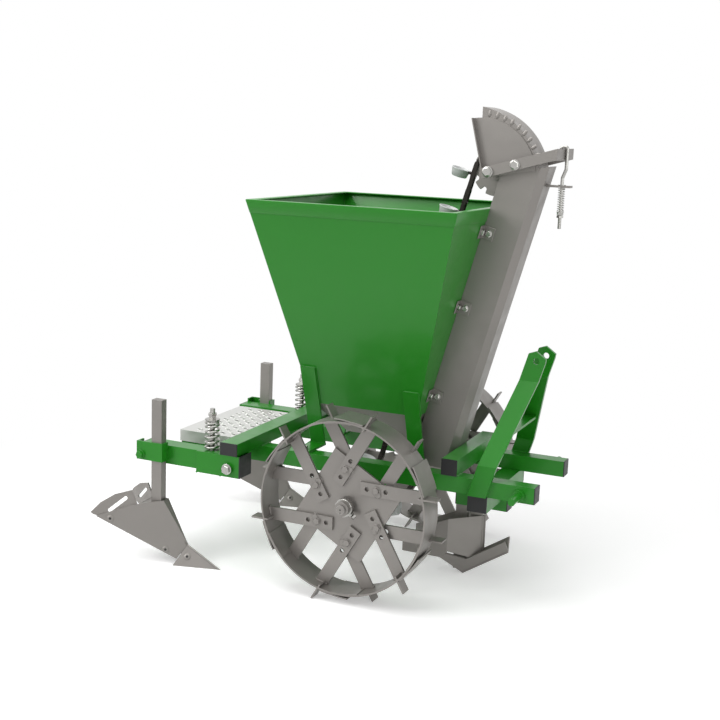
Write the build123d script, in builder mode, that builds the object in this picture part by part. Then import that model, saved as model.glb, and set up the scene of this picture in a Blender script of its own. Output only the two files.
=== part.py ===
from build123d import *
import math
import os

# Single-row potato planter: two lugged drive wheels, hopper, cup elevator in a leaning fall tube,
# furrow opener and two sprung hillers, carried on a tractor's three-point hitch.
# Millimetres. +X forward (the hitch), +Y to the left, +Z up. The floor is at Z = 0.
# Sizes ending in _ahead are measured forward from the axle, negative ones behind it.

os.makedirs("parts", exist_ok=True)

SIDES = (("right", -1), ("left", 1))
seat_gap = 0.3
running_gap = 0.05
plastic_cap = 3.0

# Reach ahead of and behind the axle; the origin is midway between the two
nose_reach = 516.0
hiller_leg_ahead = -674.5
wing_tip_behind = 184.5
tail_reach = wing_tip_behind - hiller_leg_ahead
axle_x = (tail_reach - nose_reach) / 2

# Wheels
rim_radius = 265.0
rim_width = 105.0
rim_thick = 5.0
wheel_y = 378.0
lug_radius = 304.0
lug_angle = 13.8
lug_wide = 40.0
lug_thick = 5.0
lug_root = 20.0
spoke_count = 6
spoke_wide = 40.0
spoke_thick = 8.0
spoke_offset = 62.0
spoke_start = 43.0
spoke_holes = (64.0, 94.0, 124.0)
spoke_hole_radius = 7.0
hub_plate_side = 250.0
hub_plate_thick = 8.0
hub_plate_turn = 60.0
collar_radius = 22.5
axle_radius = 14.0
axle_overhang = 6.0
axle_z = lug_radius * math.cos(math.radians(30 - lug_angle))
shaft_end_y = wheel_y + 48.0

# Main frame tubes
tube = 50.0
tube_wall = 4.0
beam_y = 168.5
beam_top = 375.0
beam_bottom = beam_top - tube
beam_outer = beam_y + tube / 2
beam_inner = beam_y - tube / 2
beam_front_ahead = nose_reach - plastic_cap
beam_rear_ahead = -690.0
front_cross_ahead = 341.0
front_cross_wide = 61.0
middle_cross_ahead = 247.0
rear_cross_ahead = -424.0
rear_cross_wide = 60.0
rear_cross_high = 40.0
rear_cross_half = 350.0
carrier_rear_ahead = 218.0
carrier_front_ahead = 383.0
carrier_high = 40.0
bearing_long = 84.0
bearing_foot = 12.0
bearing_radius = 30.0

# Top-link mast
mast_thick = 12.0
mast_wide = 58.0
mast_foot_ahead = 311.0
mast_bend_low = 421.0
mast_bend_high = 663.0
mast_top = 757.0
mast_gap = 98.0
top_link_ahead = 457.0
top_link_z = 727.0
top_link_radius = 9.75
mast_plate_z = 510.0
mast_plate_thick = 8.0
link_pin_radius = 11.0
link_pin_length = 76.0
link_pin_ahead = 467.0
link_pin_drop = 29.0
link_collar_radius = 19.0
link_collar_length = 8.0

# Hopper
sheet = 3.0
hopper_top = 1168.0
hopper_bottom = 524.0
hopper_top_half = 350.0
hopper_low_half = 123.0
hopper_low_front = 112.0
hopper_front_slope = 0.265
hopper_top_rear = -381.0
hopper_low_rear = -251.0
lip_wide = 22.0
leg_wide = 50.0
leg_thick = 8.0
front_leg_ahead = 97.0
front_leg_top = 605.0
rear_leg_ahead = -247.0
rear_leg_top = 648.0
foot_end = 190.0
sump_bottom = 430.0
sump_front = 60.0
sump_rear = -150.0
sump_half = 62.0

# Cup elevator
chain_pitch = 41.1
sprocket_teeth = 10
run_pitches = 25
upper_ahead = 283.0
chain_play = 0.3
chain_plate = 3.0
chain_high = 18.0
chain_pin_radius = 5.0
sprocket_thick = 10.0
pin_play = 2.5
tooth_height = 8.0
hub_radius = 26.0
cup_radius = 30.0
cup_depth = 26.0
cup_wall = 2.5
cup_draft = 14.0
cup_step = 3
cup_stand_off = 6.0
cup_bracket = 4.0
shaft_radius = 10.0
shaft_half = 97.0

# Fall tube and its head
trunk_half = 58.0
trunk_deep = 130.0
trunk_chamfer = 20.0
trunk_wall = 3.0
trunk_bottom = 355.0
trunk_top_rear = 1271.0
trunk_top_front = 1302.0
trunk_slot_half = 22.0
trunk_slot_low = 1185.0
hood_sheet = 2.5
hood_radius = 222.0
hood_centre_back = 76.0
hood_centre_down = 31.0
hood_rear_back = 38.0
sector_radius = 170.0
sector_thick = 3.0
sector_apex_back = 35.0
sector_apex_down = 14.0
sector_flange = 22.0

# Tension lever, hook and spring
lever_high = 32.0
lever_thick = 8.0
lever_half = 95.0
lever_reach = 204.0
lever_rise = 0.29
lever_tail = 20.0
hook_radius = 5.0
hook_bottom = 1121.0
eye_bar_z = 1245.0
eye_bar_thick = 6.0
eye_bar_wide = 30.0
small_spring_radius = 10.5
small_spring_wire = 3.0
small_spring_low = 1171.0

# Furrow opener
opener_sheet = 5.0
opener_half = 60.0
opener_nose_ahead = 312.0
opener_nose_top = 205.0
opener_fold_ahead = 207.0
opener_fold_top = 192.0
opener_rear_ahead = 56.0
opener_rear_top = 118.0
opener_floor = 62.0
opener_heel_ahead = 184.0
share_low_ahead = 245.0
share_tip_ahead = 392.0
share_tip_z = 95.0
share_wing_y = 28.0
share_sheet = 6.0
shank_wide = 40.0
shank_thick = 12.0
shank_rear_ahead = 232.0
shank_front_ahead = 283.0

# Hillers
arm_size = 60.0
arm_y = 314.5
arm_top = 374.7
arm_rear_ahead = -742.0
arm_front_ahead = -400.0
bracket_sheet = 5.0
bracket_rear_ahead = -540.0
bracket_front_ahead = -387.0
bracket_bottom = 306.0
bracket_play = 2.5
pivot_ahead = -425.0
pivot_z = 334.0
pivot_radius = 8.0
spring_ahead = -505.0
spring_radius = 25.0
spring_wire = 9.0
spring_height = 96.0
spring_coils = 6
spring_bolt_radius = 8.0
spring_bolt_top = 509.0
hiller_leg_long = 37.0
hiller_leg_thick = 28.0
hiller_leg_top = 525.0
hiller_leg_bottom = 70.0
clamp_sheet = 6.0
clamp_bottom = 326.0
clamp_top = 386.0
clamp_rear_ahead = -745.0
wing_sheet = 5.0
extension_sheet = 4.0
ridge_top_z = 200.0
ridge_half = 15.0
ridge_low_ahead = -562.0
ridge_low_z = 64.0
hiller_tip_ahead = -440.0
share_half = 42.0
share_heel_ahead = -594.0
frog_thick = 10.0
wing_rear_ahead = -826.0
wing_rear_half = 105.0
wing_rear_z = 148.0
wing_tip_z = 155.0
bolt_head = 8.0
washer = 4.0
slot_height = 12.0
# Corners on the wings' plane, as (ahead, z)
wing_corners = ((-735.0, 183.0), (-838.0, 144.0), (-592.0, 16.0))
extension_corners = ((-829.0, 187.0), (-790.0, 214.0), (-742.0, 229.0), (-722.0, 186.0),
                     (-800.0, 138.0), (-846.0, 148.0))
extension_slot = ((-800.0, 163.0), (-757.0, 203.0))

# Step plate
step_sheet = 3.0
step_rear_ahead = -695.0
step_half = 200.0
step_top = 391.0
step_side_drop = 38.0
step_holes = (4, 9)
step_hole_spacing = 42.0
step_hole_radius = 8.0


def ahead(distance):
    """X of a point given by its distance forward of the axle."""
    return axle_x + distance


def save(part, name):
    """Label a finished piece and write its STEP file."""
    part.label = name
    export_step(part, f"parts/{name}.step")


def outline(plane, corners):
    """A flat face on the plane through a list of corners."""
    with BuildSketch(plane) as flat:
        with BuildLine():
            Polyline(*corners, close=True)
        make_face()
    return flat.sketch


def side_view(y, corners):
    """A flat face in the X-Z plane at a given Y, through corners given as (ahead, z)."""
    return outline(Plane.XZ.offset(-y), [(ahead(x), z) for x, z in corners])


def sheet_plane(first, second, third):
    """A plane through three corners, with its X along the first edge."""
    a, b, c = Vector(*first), Vector(*second), Vector(*third)
    return Plane(origin=a, x_dir=b - a, z_dir=(b - a).cross(c - a))


def flat_sheet(plane, corners):
    """A flat face on a tilted plane through corners given in space."""
    local = [plane.to_local_coords(Vector(*corner)) for corner in corners]
    return outline(plane, [(p.X, p.Y) for p in local])


def on_plane(plane, x_ahead, z):
    """The point of a plane at a distance ahead and a height."""
    probe = Vector(ahead(x_ahead), 0, z)
    reach = (plane.origin - probe).dot(plane.z_dir) / plane.z_dir.Y
    return (probe.X, reach, z)


def hollow_tube(centre, size):
    """A square tube without ends: centre and outside size as (x, y, z); the longest side is open."""
    along = size.index(max(size))
    inner = [side if n == along else side - 2 * tube_wall for n, side in enumerate(size)]
    with BuildPart(Plane(origin=centre)) as made:
        Box(*size)
        Box(*inner, mode=Mode.SUBTRACT)
    return made.part


# Frame tubes, each name with its centre (x, y, z) and outside size (x, y, z)
beam_mid = ahead((beam_front_ahead + beam_rear_ahead) / 2)
beam_long = beam_front_ahead - beam_rear_ahead
front_cross_z = beam_bottom - tube / 2
carrier_z = front_cross_z - tube / 2 - carrier_high / 2
carrier_mid = ahead((carrier_rear_ahead + carrier_front_ahead) / 2)
carrier_long = carrier_front_ahead - carrier_rear_ahead
rear_cross_z = beam_top + rear_cross_high / 2
frame_tubes = (
    ("beam_right", (beam_mid, -beam_y, beam_top - tube / 2), (beam_long, tube, tube)),
    ("beam_left", (beam_mid, beam_y, beam_top - tube / 2), (beam_long, tube, tube)),
    ("front_cross_tube", (ahead(front_cross_ahead), 0, front_cross_z),
     (front_cross_wide, 2 * beam_outer, tube)),
    ("middle_cross_tube", (ahead(middle_cross_ahead), 0, beam_top + tube / 2),
     (tube, 2 * beam_outer, tube)),
    ("rear_cross_beam", (ahead(rear_cross_ahead), 0, rear_cross_z),
     (rear_cross_wide, 2 * rear_cross_half, rear_cross_high)),
    ("opener_carrier", (carrier_mid, 0, carrier_z), (carrier_long, tube, carrier_high)),
)
for name, centre, size in frame_tubes:
    save(hollow_tube(centre, size), name)

# Plastic caps on the tubes' ends
with BuildPart() as end_caps:
    for name, centre, size in frame_tubes:
        along = size.index(max(size))
        cap = [plastic_cap if n == along else side for n, side in enumerate(size)]
        for end in (-1, 1):
            spot = list(centre)
            spot[along] += end * (size[along] + plastic_cap) / 2
            with Locations(tuple(spot)):
                Box(*cap)
    for side, sign in SIDES:
        with Locations((ahead(arm_rear_ahead) - plastic_cap / 2, sign * arm_y, arm_top - arm_size / 2)):
            Box(plastic_cap, arm_size, arm_size)
        with Locations((ahead(bracket_front_ahead) + plastic_cap / 2, sign * arm_y,
                        (bracket_bottom + beam_top) / 2)):
            Box(plastic_cap, arm_size + 2 * (bracket_play + bracket_sheet), beam_top - bracket_bottom)
save(end_caps.part, "end_caps")

# Bearings that carry the axle under the beams
with BuildPart() as bearings:
    for side, sign in SIDES:
        with BuildSketch(Plane.XZ.offset(-sign * beam_y)):
            with Locations((axle_x, beam_bottom - bearing_foot / 2)):
                Rectangle(bearing_long, bearing_foot)
            with Locations((axle_x, (axle_z + beam_bottom) / 2)):
                Rectangle(2 * bearing_radius, beam_bottom - axle_z)
            with Locations((axle_x, axle_z)):
                Circle(bearing_radius)
                Circle(axle_radius + running_gap, mode=Mode.SUBTRACT)
        extrude(amount=tube / 2, both=True)
save(bearings.part, "axle_bearings")

# Top-link mast: a bent flat bar each side, leaning forward
mast_foot_y = beam_outer + mast_thick / 2
mast_top_y = (mast_gap + mast_thick) / 2


mast_lean = (top_link_ahead - mast_wide / 2 - mast_foot_ahead) / (top_link_z - beam_bottom)


def mast_rear(z):
    return mast_foot_ahead + mast_lean * (z - beam_bottom)


mast_corners = (
    (mast_rear(beam_bottom), beam_bottom), (mast_rear(beam_bottom) + mast_wide, beam_bottom),
    (mast_rear(mast_top - 36) + mast_wide, mast_top - 36),
    (mast_rear(mast_top - 22) + mast_wide - 2, mast_top - 22),
    (mast_rear(mast_top) + 18, mast_top), (mast_rear(mast_top - 8) - 2, mast_top - 8),
)
for side, sign in SIDES:
    with BuildPart() as mast:
        with BuildSketch(Plane.YZ.offset(ahead(min(mast_rear(beam_bottom), mast_rear(mast_top))) - mast_wide)):
            with BuildLine() as bent:
                Polyline((sign * mast_foot_y, beam_bottom), (sign * mast_foot_y, mast_bend_low),
                         (sign * mast_top_y, mast_bend_high), (sign * mast_top_y, mast_top))
            trace(line_width=mast_thick)
        extrude(amount=abs(mast_rear(mast_top) - mast_rear(beam_bottom)) + 3 * mast_wide)
        extrude(side_view(0, mast_corners), amount=2 * beam_outer, both=True, mode=Mode.INTERSECT)
        with Locations(Location((ahead(top_link_ahead), sign * mast_top_y, top_link_z), (90, 0, 0))):
            Cylinder(top_link_radius, 2 * mast_thick, mode=Mode.SUBTRACT)
    save(mast.part, f"mast_bar_{side}")

# Cross plate between the mast's bars
mast_slope = (mast_foot_y - mast_top_y) / (mast_bend_high - mast_bend_low)


def mast_inner(z):
    half_bar = mast_thick / 2 * math.hypot(1, mast_slope)
    return mast_foot_y - mast_slope * (z - mast_bend_low) - half_bar - seat_gap


plate_low = mast_plate_z - mast_plate_thick / 2
plate_high = mast_plate_z + mast_plate_thick / 2
with BuildPart() as mast_plate:
    plate_start = ahead(mast_rear(mast_plate_z)) + 5
    extrude(outline(Plane.YZ.offset(plate_start), [
        (-mast_inner(plate_low), plate_low), (mast_inner(plate_low), plate_low),
        (mast_inner(plate_high), plate_high), (-mast_inner(plate_high), plate_high)]),
        amount=mast_wide - 12)
save(mast_plate.part, "mast_cross_plate")

# Lower link pins on the beams' outer faces
with BuildPart() as link_pins:
    for side, sign in SIDES:
        with BuildSketch(Plane.XZ.offset(-sign * beam_outer)):
            with Locations((ahead(link_pin_ahead), beam_top - link_pin_drop)):
                Circle(link_pin_radius)
        extrude(amount=-sign * link_pin_length)
        with BuildSketch(Plane.XZ.offset(-sign * beam_outer)):
            with Locations((ahead(link_pin_ahead), beam_top - link_pin_drop)):
                Circle(link_collar_radius)
        extrude(amount=-sign * link_collar_length)
save(link_pins.part, "lower_link_pins")

# Hopper: four sloping walls, open above and below, with a lip turned in round the top
hopper_top_front = hopper_low_front + hopper_front_slope * (hopper_top - hopper_bottom)


def between(rear, front, half, z):
    """A rectangle at a height, from a rear to a front distance and to both sides."""
    with BuildSketch(Plane.XY.offset(z)) as flat:
        with Locations((ahead((rear + front) / 2), 0)):
            Rectangle(front - rear, 2 * half)
    return flat.sketch


with BuildPart() as hopper:
    loft([between(hopper_low_rear, hopper_low_front, hopper_low_half, hopper_bottom),
          between(hopper_top_rear, hopper_top_front, hopper_top_half, hopper_top)], ruled=True)
    loft([between(hopper_low_rear + sheet, hopper_low_front - sheet, hopper_low_half - sheet, hopper_bottom),
          between(hopper_top_rear + sheet, hopper_top_front - sheet, hopper_top_half - sheet, hopper_top)],
         ruled=True, mode=Mode.SUBTRACT)
    extrude(between(hopper_top_rear, hopper_top_front, hopper_top_half, hopper_top), amount=sheet)
    extrude(between(hopper_top_rear + lip_wide, hopper_top_front - lip_wide,
                    hopper_top_half - lip_wide, hopper_top), amount=sheet, mode=Mode.SUBTRACT)
save(hopper.part, "hopper")

# Hopper legs: flat bars in line with the side walls, each with a foot on its beam
side_slope = (hopper_top_half - hopper_low_half) / (hopper_top - hopper_bottom)
foot_top = beam_top + leg_thick


def wall_y(z):
    return hopper_low_half + side_slope * (z - hopper_bottom)


leg_skew = leg_thick * math.hypot(1, side_slope)
for place, leg_ahead, leg_top in (("front", front_leg_ahead, front_leg_top),
                                  ("rear", rear_leg_ahead, rear_leg_top)):
    for side, sign in SIDES:
        with BuildPart() as leg:
            across = Plane.YZ.offset(ahead(leg_ahead) - leg_wide / 2)
            extrude(outline(across, [
                (sign * wall_y(leg_top), leg_top), (sign * (wall_y(leg_top) + leg_skew), leg_top),
                (sign * (wall_y(beam_top) + leg_skew), beam_top), (sign * wall_y(beam_top), beam_top)]),
                amount=leg_wide)
            extrude(outline(across, [
                (sign * wall_y(beam_top), beam_top), (sign * foot_end, beam_top),
                (sign * foot_end, foot_top), (sign * wall_y(beam_top), foot_top)]), amount=leg_wide)
        save(leg.part, f"hopper_leg_{place}_{side}")

# Sump under the hopper, which narrows to the slot where the chain rises
with BuildPart() as sump:
    loft([between(sump_rear, sump_front, sump_half, sump_bottom),
          between(hopper_low_rear, hopper_low_front, hopper_low_half, hopper_bottom)], ruled=True)
    loft([between(sump_rear + sheet, sump_front - sheet, sump_half - sheet, sump_bottom),
          between(hopper_low_rear + sheet, hopper_low_front - sheet, hopper_low_half - sheet,
                  hopper_bottom)], ruled=True, mode=Mode.SUBTRACT)
save(sump.part, "sump")

# Elevator geometry: the chain's centre line leans between two equal sprockets
pitch_radius = chain_pitch / (2 * math.sin(math.pi / sprocket_teeth))
elevator_length = run_pitches * chain_pitch
chain_gap = sprocket_thick + 2 * chain_play
lean = math.asin(upper_ahead / elevator_length)
upper_x = ahead(upper_ahead)
upper_z = axle_z + elevator_length * math.cos(lean)
run_dir = Vector(math.sin(lean), 0, math.cos(lean))
out_dir = Vector(math.cos(lean), 0, -math.sin(lean))
lower_centre = Vector(axle_x, 0, axle_z)
upper_centre = Vector(upper_x, 0, upper_z)


def sprocket_face(centre, turn):
    """A toothed disc in the X-Z plane; the first pocket lies at the turn, in degrees from +X."""
    with BuildSketch(Plane.XZ) as flat:
        with Locations((centre.X, centre.Z)):
            Circle(pitch_radius + tooth_height)
            with PolarLocations(pitch_radius, sprocket_teeth, start_angle=turn):
                Circle(chain_pin_radius + pin_play, mode=Mode.SUBTRACT)
            with PolarLocations(pitch_radius + tooth_height, sprocket_teeth, start_angle=turn):
                Circle(chain_pin_radius + 2 * pin_play, mode=Mode.SUBTRACT)
    return flat.sketch


sprocket_turn = -math.degrees(lean)
with BuildPart() as upper_sprocket:
    extrude(sprocket_face(upper_centre, sprocket_turn), amount=sprocket_thick / 2, both=True)
    with Locations(Location((upper_x, 0, upper_z), (90, 0, 0))):
        Cylinder(hub_radius, 3 * sprocket_thick)
        Cylinder(shaft_radius, 2 * shaft_half)
save(upper_sprocket.part, "upper_sprocket")

with BuildPart() as lower_sprocket:
    extrude(sprocket_face(lower_centre, sprocket_turn), amount=sprocket_thick / 2, both=True)
    with Locations(Location((axle_x, 0, axle_z), (90, 0, 0))):
        Cylinder(hub_radius, 3 * sprocket_thick)
        Cylinder(axle_radius + running_gap, 4 * sprocket_thick, mode=Mode.SUBTRACT)
save(lower_sprocket.part, "lower_sprocket")

# Chain places: each pin with the outward and travel directions there
chain_places = []
for step in range(run_pitches):
    chain_places.append((upper_centre + out_dir * pitch_radius - run_dir * (step * chain_pitch),
                         out_dir, -run_dir))
for step in range(sprocket_teeth // 2):
    out = out_dir.rotate(Axis.Y, 360 / sprocket_teeth * step)
    chain_places.append((lower_centre + out * pitch_radius, out, out.rotate(Axis.Y, 90)))
for step in range(run_pitches):
    chain_places.append((lower_centre - out_dir * pitch_radius + run_dir * (step * chain_pitch),
                         -out_dir, run_dir))
for step in range(sprocket_teeth // 2):
    out = (-out_dir).rotate(Axis.Y, 360 / sprocket_teeth * step)
    chain_places.append((upper_centre + out * pitch_radius, out, out.rotate(Axis.Y, 90)))


def chain_ring(grow):
    """The racetrack loop round both sprockets, grown outward from the pitch line."""
    with BuildSketch(Plane.XZ) as flat:
        middle = (lower_centre + upper_centre) / 2
        with Locations(Location((middle.X, middle.Z), 90 - math.degrees(lean))):
            SlotCenterToCenter(elevator_length, 2 * (pitch_radius + grow))
    return flat.sketch


with BuildPart() as chain:
    for row in (-1, 1):
        y_mid = row * (chain_gap + chain_plate) / 2
        ring = Pos(0, y_mid, 0) * (chain_ring(chain_high / 2) - chain_ring(-chain_high / 2))
        extrude(ring, amount=chain_plate / 2, both=True)
    for centre, out, travel in chain_places:
        with BuildSketch(Plane.XZ):
            with Locations((centre.X, centre.Z)):
                RegularPolygon(chain_pin_radius, 6)
        extrude(amount=chain_gap / 2 + chain_plate + 2, both=True)
save(chain.part, "elevator_chain")

# Cups, each on a bracket that stands on the chain, mouth first along the travel
with BuildPart() as cups:
    for centre, out, travel in chain_places[::cup_step]:
        seat = chain_high / 2
        mouth = Plane(origin=centre + travel * cup_depth / 2, x_dir=out, z_dir=travel)
        cup_middle = seat + cup_stand_off + cup_radius
        with BuildSketch(mouth):
            with Locations((cup_middle, 0)):
                RegularPolygon(cup_radius, 8, rotation=22.5)
        extrude(amount=-cup_depth, taper=cup_draft)
        with BuildSketch(mouth):
            with Locations(((seat + cup_middle - cup_radius * 0.8) / 2, 0)):
                Rectangle(cup_middle - cup_radius * 0.8 - seat, chain_gap + 2 * chain_plate)
        extrude(amount=-cup_bracket)
        with BuildSketch(mouth):
            with Locations((cup_middle, 0)):
                RegularPolygon(cup_radius - cup_wall, 8, rotation=22.5)
        extrude(amount=-(cup_depth - cup_wall), taper=cup_draft, mode=Mode.SUBTRACT)
save(cups.part, "elevator_cups")

# Fall tube: a leaning box with chamfered front corners
trunk_lean = math.atan(hopper_front_slope)
trunk_dir = Vector(math.sin(trunk_lean), 0, math.cos(trunk_lean))
trunk_deep_x = trunk_deep / math.cos(trunk_lean)


def trunk_rear(z):
    return hopper_low_front + seat_gap + hopper_front_slope * (z - hopper_bottom)


def trunk_section(shrink, start):
    """The tube's outline square to its lean, drawn in by a wall thickness."""
    back, front, half = shrink, trunk_deep - shrink, trunk_half - shrink
    cut = trunk_chamfer - 0.6 * shrink
    return outline(start, [(back, -half), (front - cut, -half), (front, cut - half),
                           (front, half - cut), (front - cut, half), (back, half)])


trunk_start = Plane(origin=(ahead(trunk_rear(trunk_bottom - 60)), 0, trunk_bottom - 60),
                    x_dir=(math.cos(trunk_lean), 0, -math.sin(trunk_lean)), z_dir=trunk_dir)
trunk_length = (trunk_top_front - trunk_bottom + 120) / math.cos(trunk_lean)
top_rear_x = ahead(trunk_rear(trunk_top_rear))
top_front_x = ahead(trunk_rear(trunk_top_front)) + trunk_deep_x
trunk_room = [(ahead(trunk_rear(trunk_bottom)) - 60, trunk_bottom),
              (ahead(trunk_rear(trunk_bottom)) + 2 * trunk_deep_x, trunk_bottom),
              (top_front_x + 60, trunk_top_front + 60 * lever_rise * 0.75), (top_front_x, trunk_top_front),
              (top_rear_x, trunk_top_rear), (top_rear_x - 60, trunk_top_rear)]
with BuildPart() as trunk:
    extrude(trunk_section(0, trunk_start), amount=trunk_length)
    extrude(trunk_section(trunk_wall, trunk_start), amount=trunk_length, mode=Mode.SUBTRACT)
    extrude(outline(Plane.XZ, trunk_room), amount=2 * trunk_half, both=True, mode=Mode.INTERSECT)
    with BuildSketch(Plane.XZ):
        with Locations((ahead(trunk_rear(trunk_slot_low)) + 10, (trunk_slot_low + trunk_top_rear) / 2 + 10)):
            Rectangle(90, trunk_top_rear - trunk_slot_low + 40)
    extrude(amount=trunk_slot_half, both=True, mode=Mode.SUBTRACT)
save(trunk.part, "fall_tube")

# Head hood over the upper sprocket: two side plates and a curved cover, open to the rear
hood_x = upper_x - hood_centre_back
hood_z = upper_z - hood_centre_down
hood_rear_x = upper_x - hood_rear_back


def hood_face(shrink):
    """The hood's side outline: an arc about its centre, cut by the rear edge and the tube's top."""
    with BuildSketch(Plane.XZ) as flat:
        with Locations((hood_x, hood_z)):
            Circle(hood_radius - shrink)
        with BuildLine():
            Polyline((hood_rear_x, hood_z + 2 * hood_radius), (hood_rear_x, trunk_top_rear - 9),
                     (top_rear_x, trunk_top_rear), (top_front_x, trunk_top_front),
                     (top_front_x + hood_radius, hood_z + 2 * hood_radius), close=True)
        make_face(mode=Mode.INTERSECT)
    return flat.sketch


with BuildPart() as hood:
    extrude(hood_face(0), amount=trunk_half, both=True)
    extrude(hood_face(hood_sheet), amount=trunk_half - hood_sheet, both=True, mode=Mode.SUBTRACT)
    with Locations(Location((upper_x, 0, upper_z), (90, 0, 0))):
        Cylinder(shaft_radius + running_gap, 4 * trunk_half, mode=Mode.SUBTRACT)
save(hood.part, "head_hood")

# Sector plate on the near side of the head
apex_x = upper_x - sector_apex_back
apex_z = upper_z - sector_apex_down
sector_y = -(trunk_half + seat_gap)
with BuildPart() as sector:
    with BuildSketch(Plane.XZ.offset(-sector_y)):
        with BuildLine():
            fold_top = (apex_x + sector_radius * math.cos(math.radians(99)),
                        apex_z + sector_radius * math.sin(math.radians(99)))
            front_end = (apex_x + sector_radius * math.cos(math.radians(8)),
                         apex_z + sector_radius * math.sin(math.radians(8)))
            RadiusArc(fold_top, front_end, sector_radius)
            Polyline(front_end, (apex_x + 17, apex_z - 4), fold_top)
        make_face()
    extrude(amount=sector_thick)
    fold = Vector(fold_top[0] - apex_x - 17, 0, fold_top[1] - apex_z + 4)
    flange = Plane(origin=(apex_x + 17, sector_y, apex_z - 4), x_dir=fold, z_dir=(0, -1, 0))
    with BuildSketch(flange):
        Rectangle(fold.length, sector_thick, align=(Align.MIN, Align.MIN))
    extrude(amount=sector_flange)
    with Locations(Location((upper_x, sector_y, upper_z), (90, 0, 0))):
        Cylinder(shaft_radius + running_gap, 6 * sector_thick, mode=Mode.SUBTRACT)
save(sector.part, "sector_plate")

# Tension lever: a U of flat bar on the upper shaft
lever_back = (upper_x - lever_tail, upper_z - lever_tail * lever_rise)
lever_front = (upper_x + lever_reach, upper_z + lever_reach * lever_rise)
half_high = lever_high / 2
with BuildPart() as lever:
    arm_face = [(lever_back[0], lever_back[1] - half_high), (lever_front[0], lever_front[1] - half_high),
                (lever_front[0], lever_front[1] + half_high), (lever_back[0], lever_back[1] + half_high)]
    extrude(outline(Plane.XZ, arm_face), amount=lever_half, both=True)
    room = [(lever_back[0] - 50, lever_back[1] - 200), (lever_front[0] - lever_thick, lever_back[1] - 200),
            (lever_front[0] - lever_thick, lever_front[1] + 200), (lever_back[0] - 50, lever_front[1] + 200)]
    extrude(outline(Plane.XZ, room), amount=lever_half - lever_thick, both=True, mode=Mode.SUBTRACT)
    with Locations(Location((upper_x, 0, upper_z), (90, 0, 0))):
        Cylinder(shaft_radius + running_gap, 4 * lever_half, mode=Mode.SUBTRACT)
save(lever.part, "tension_lever")

# Hook bolt over the lever's cross bar, through the eye bar on the fall tube
bar_top = lever_front[1] + half_high
bar_mid_x = lever_front[0] - lever_thick / 2
hook_side = lever_thick / 2 + hook_radius + seat_gap
hook_x = bar_mid_x
hook_path = [(hook_x, hook_bottom), (hook_x, eye_bar_z + 25), (bar_mid_x + hook_side, eye_bar_z + 50),
             (bar_mid_x + hook_side, bar_top + hook_radius + seat_gap),
             (bar_mid_x - hook_side, bar_top + hook_radius + seat_gap),
             (bar_mid_x - hook_side, bar_top - lever_high * 0.6)]
with BuildPart() as hook:
    with BuildLine(Plane.XZ):
        FilletPolyline(*hook_path, radius=hook_radius + 1)
    with BuildSketch(Plane(origin=(hook_x, 0, hook_bottom), z_dir=(0, 0, 1))):
        Circle(hook_radius)
    sweep()
    with BuildSketch(Plane(origin=(hook_x, 0, small_spring_low - 9), z_dir=(0, 0, 1))):
        RegularPolygon(2 * hook_radius, 6)
    extrude(amount=9 - seat_gap)
save(hook.part, "hook_bolt")

eye_start = ahead(trunk_rear(eye_bar_z)) + trunk_deep_x
with BuildPart() as eye_bar:
    extrude(outline(Plane.XZ, [
        (eye_start + 1, eye_bar_z - eye_bar_thick / 2), (hook_x + 28, eye_bar_z - eye_bar_thick / 2),
        (hook_x + 28, eye_bar_z + eye_bar_thick / 2), (eye_start + 1, eye_bar_z + eye_bar_thick / 2)]),
        amount=eye_bar_wide / 2, both=True)
    with Locations((hook_x, 0, eye_bar_z)):
        Cylinder(hook_radius + running_gap, 2 * eye_bar_thick, mode=Mode.SUBTRACT)
save(eye_bar.part, "hook_eye_bar")


def coil_stack(x, y, low, high, outer, wire, coils):
    """A compression spring as a stack of rings on a thin inner wall."""
    pitch = (high - low - wire) / (coils - 1)
    with BuildPart() as stack:
        with BuildSketch(Plane(origin=(x, y, low), x_dir=(1, 0, 0), z_dir=(0, -1, 0))):
            with Locations([(outer - wire / 2, wire / 2 + pitch * n) for n in range(coils)]):
                RegularPolygon(wire / 2, 6)
            with Locations((outer - wire * 0.75, (high - low) / 2)):
                Rectangle(wire / 4, high - low - wire)
        revolve(axis=Axis((x, y, 0), (0, 0, 1)))
    return stack.part


save(coil_stack(hook_x, 0, small_spring_low, eye_bar_z - eye_bar_thick / 2 - seat_gap,
                small_spring_radius, small_spring_wire, 9), "hook_spring")

# Furrow opener: two plates that meet in a nose, on a shoe that slopes down to a keel
floor_slope = share_tip_z / (share_tip_ahead - share_low_ahead)
nose_run = (opener_nose_ahead - opener_fold_ahead) / opener_half
wing_ahead = opener_nose_ahead - nose_run * share_wing_y


def share_height(x_ahead, y):
    """Height of the shoe's sloping face, which holds the keel line and the heel corner."""
    along = x_ahead - share_low_ahead + (share_low_ahead - opener_heel_ahead) * y / opener_half
    return along * floor_slope + opener_floor * y / opener_half


with BuildPart() as share:
    for side, sign in SIDES:
        shoe = [(ahead(share_low_ahead), 0, 0), (ahead(share_tip_ahead), 0, share_tip_z)]
        for x_ahead, y in ((share_tip_ahead - 6, share_wing_y), (wing_ahead, share_wing_y),
                           (opener_fold_ahead, opener_half), (opener_heel_ahead, opener_half)):
            shoe.append((ahead(x_ahead), sign * y, share_height(x_ahead, y)))
        tilted = sheet_plane(shoe[0], shoe[1], shoe[3])
        extrude(flat_sheet(tilted, shoe), amount=sign * share_sheet)
save(share.part, "opener_share")

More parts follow.
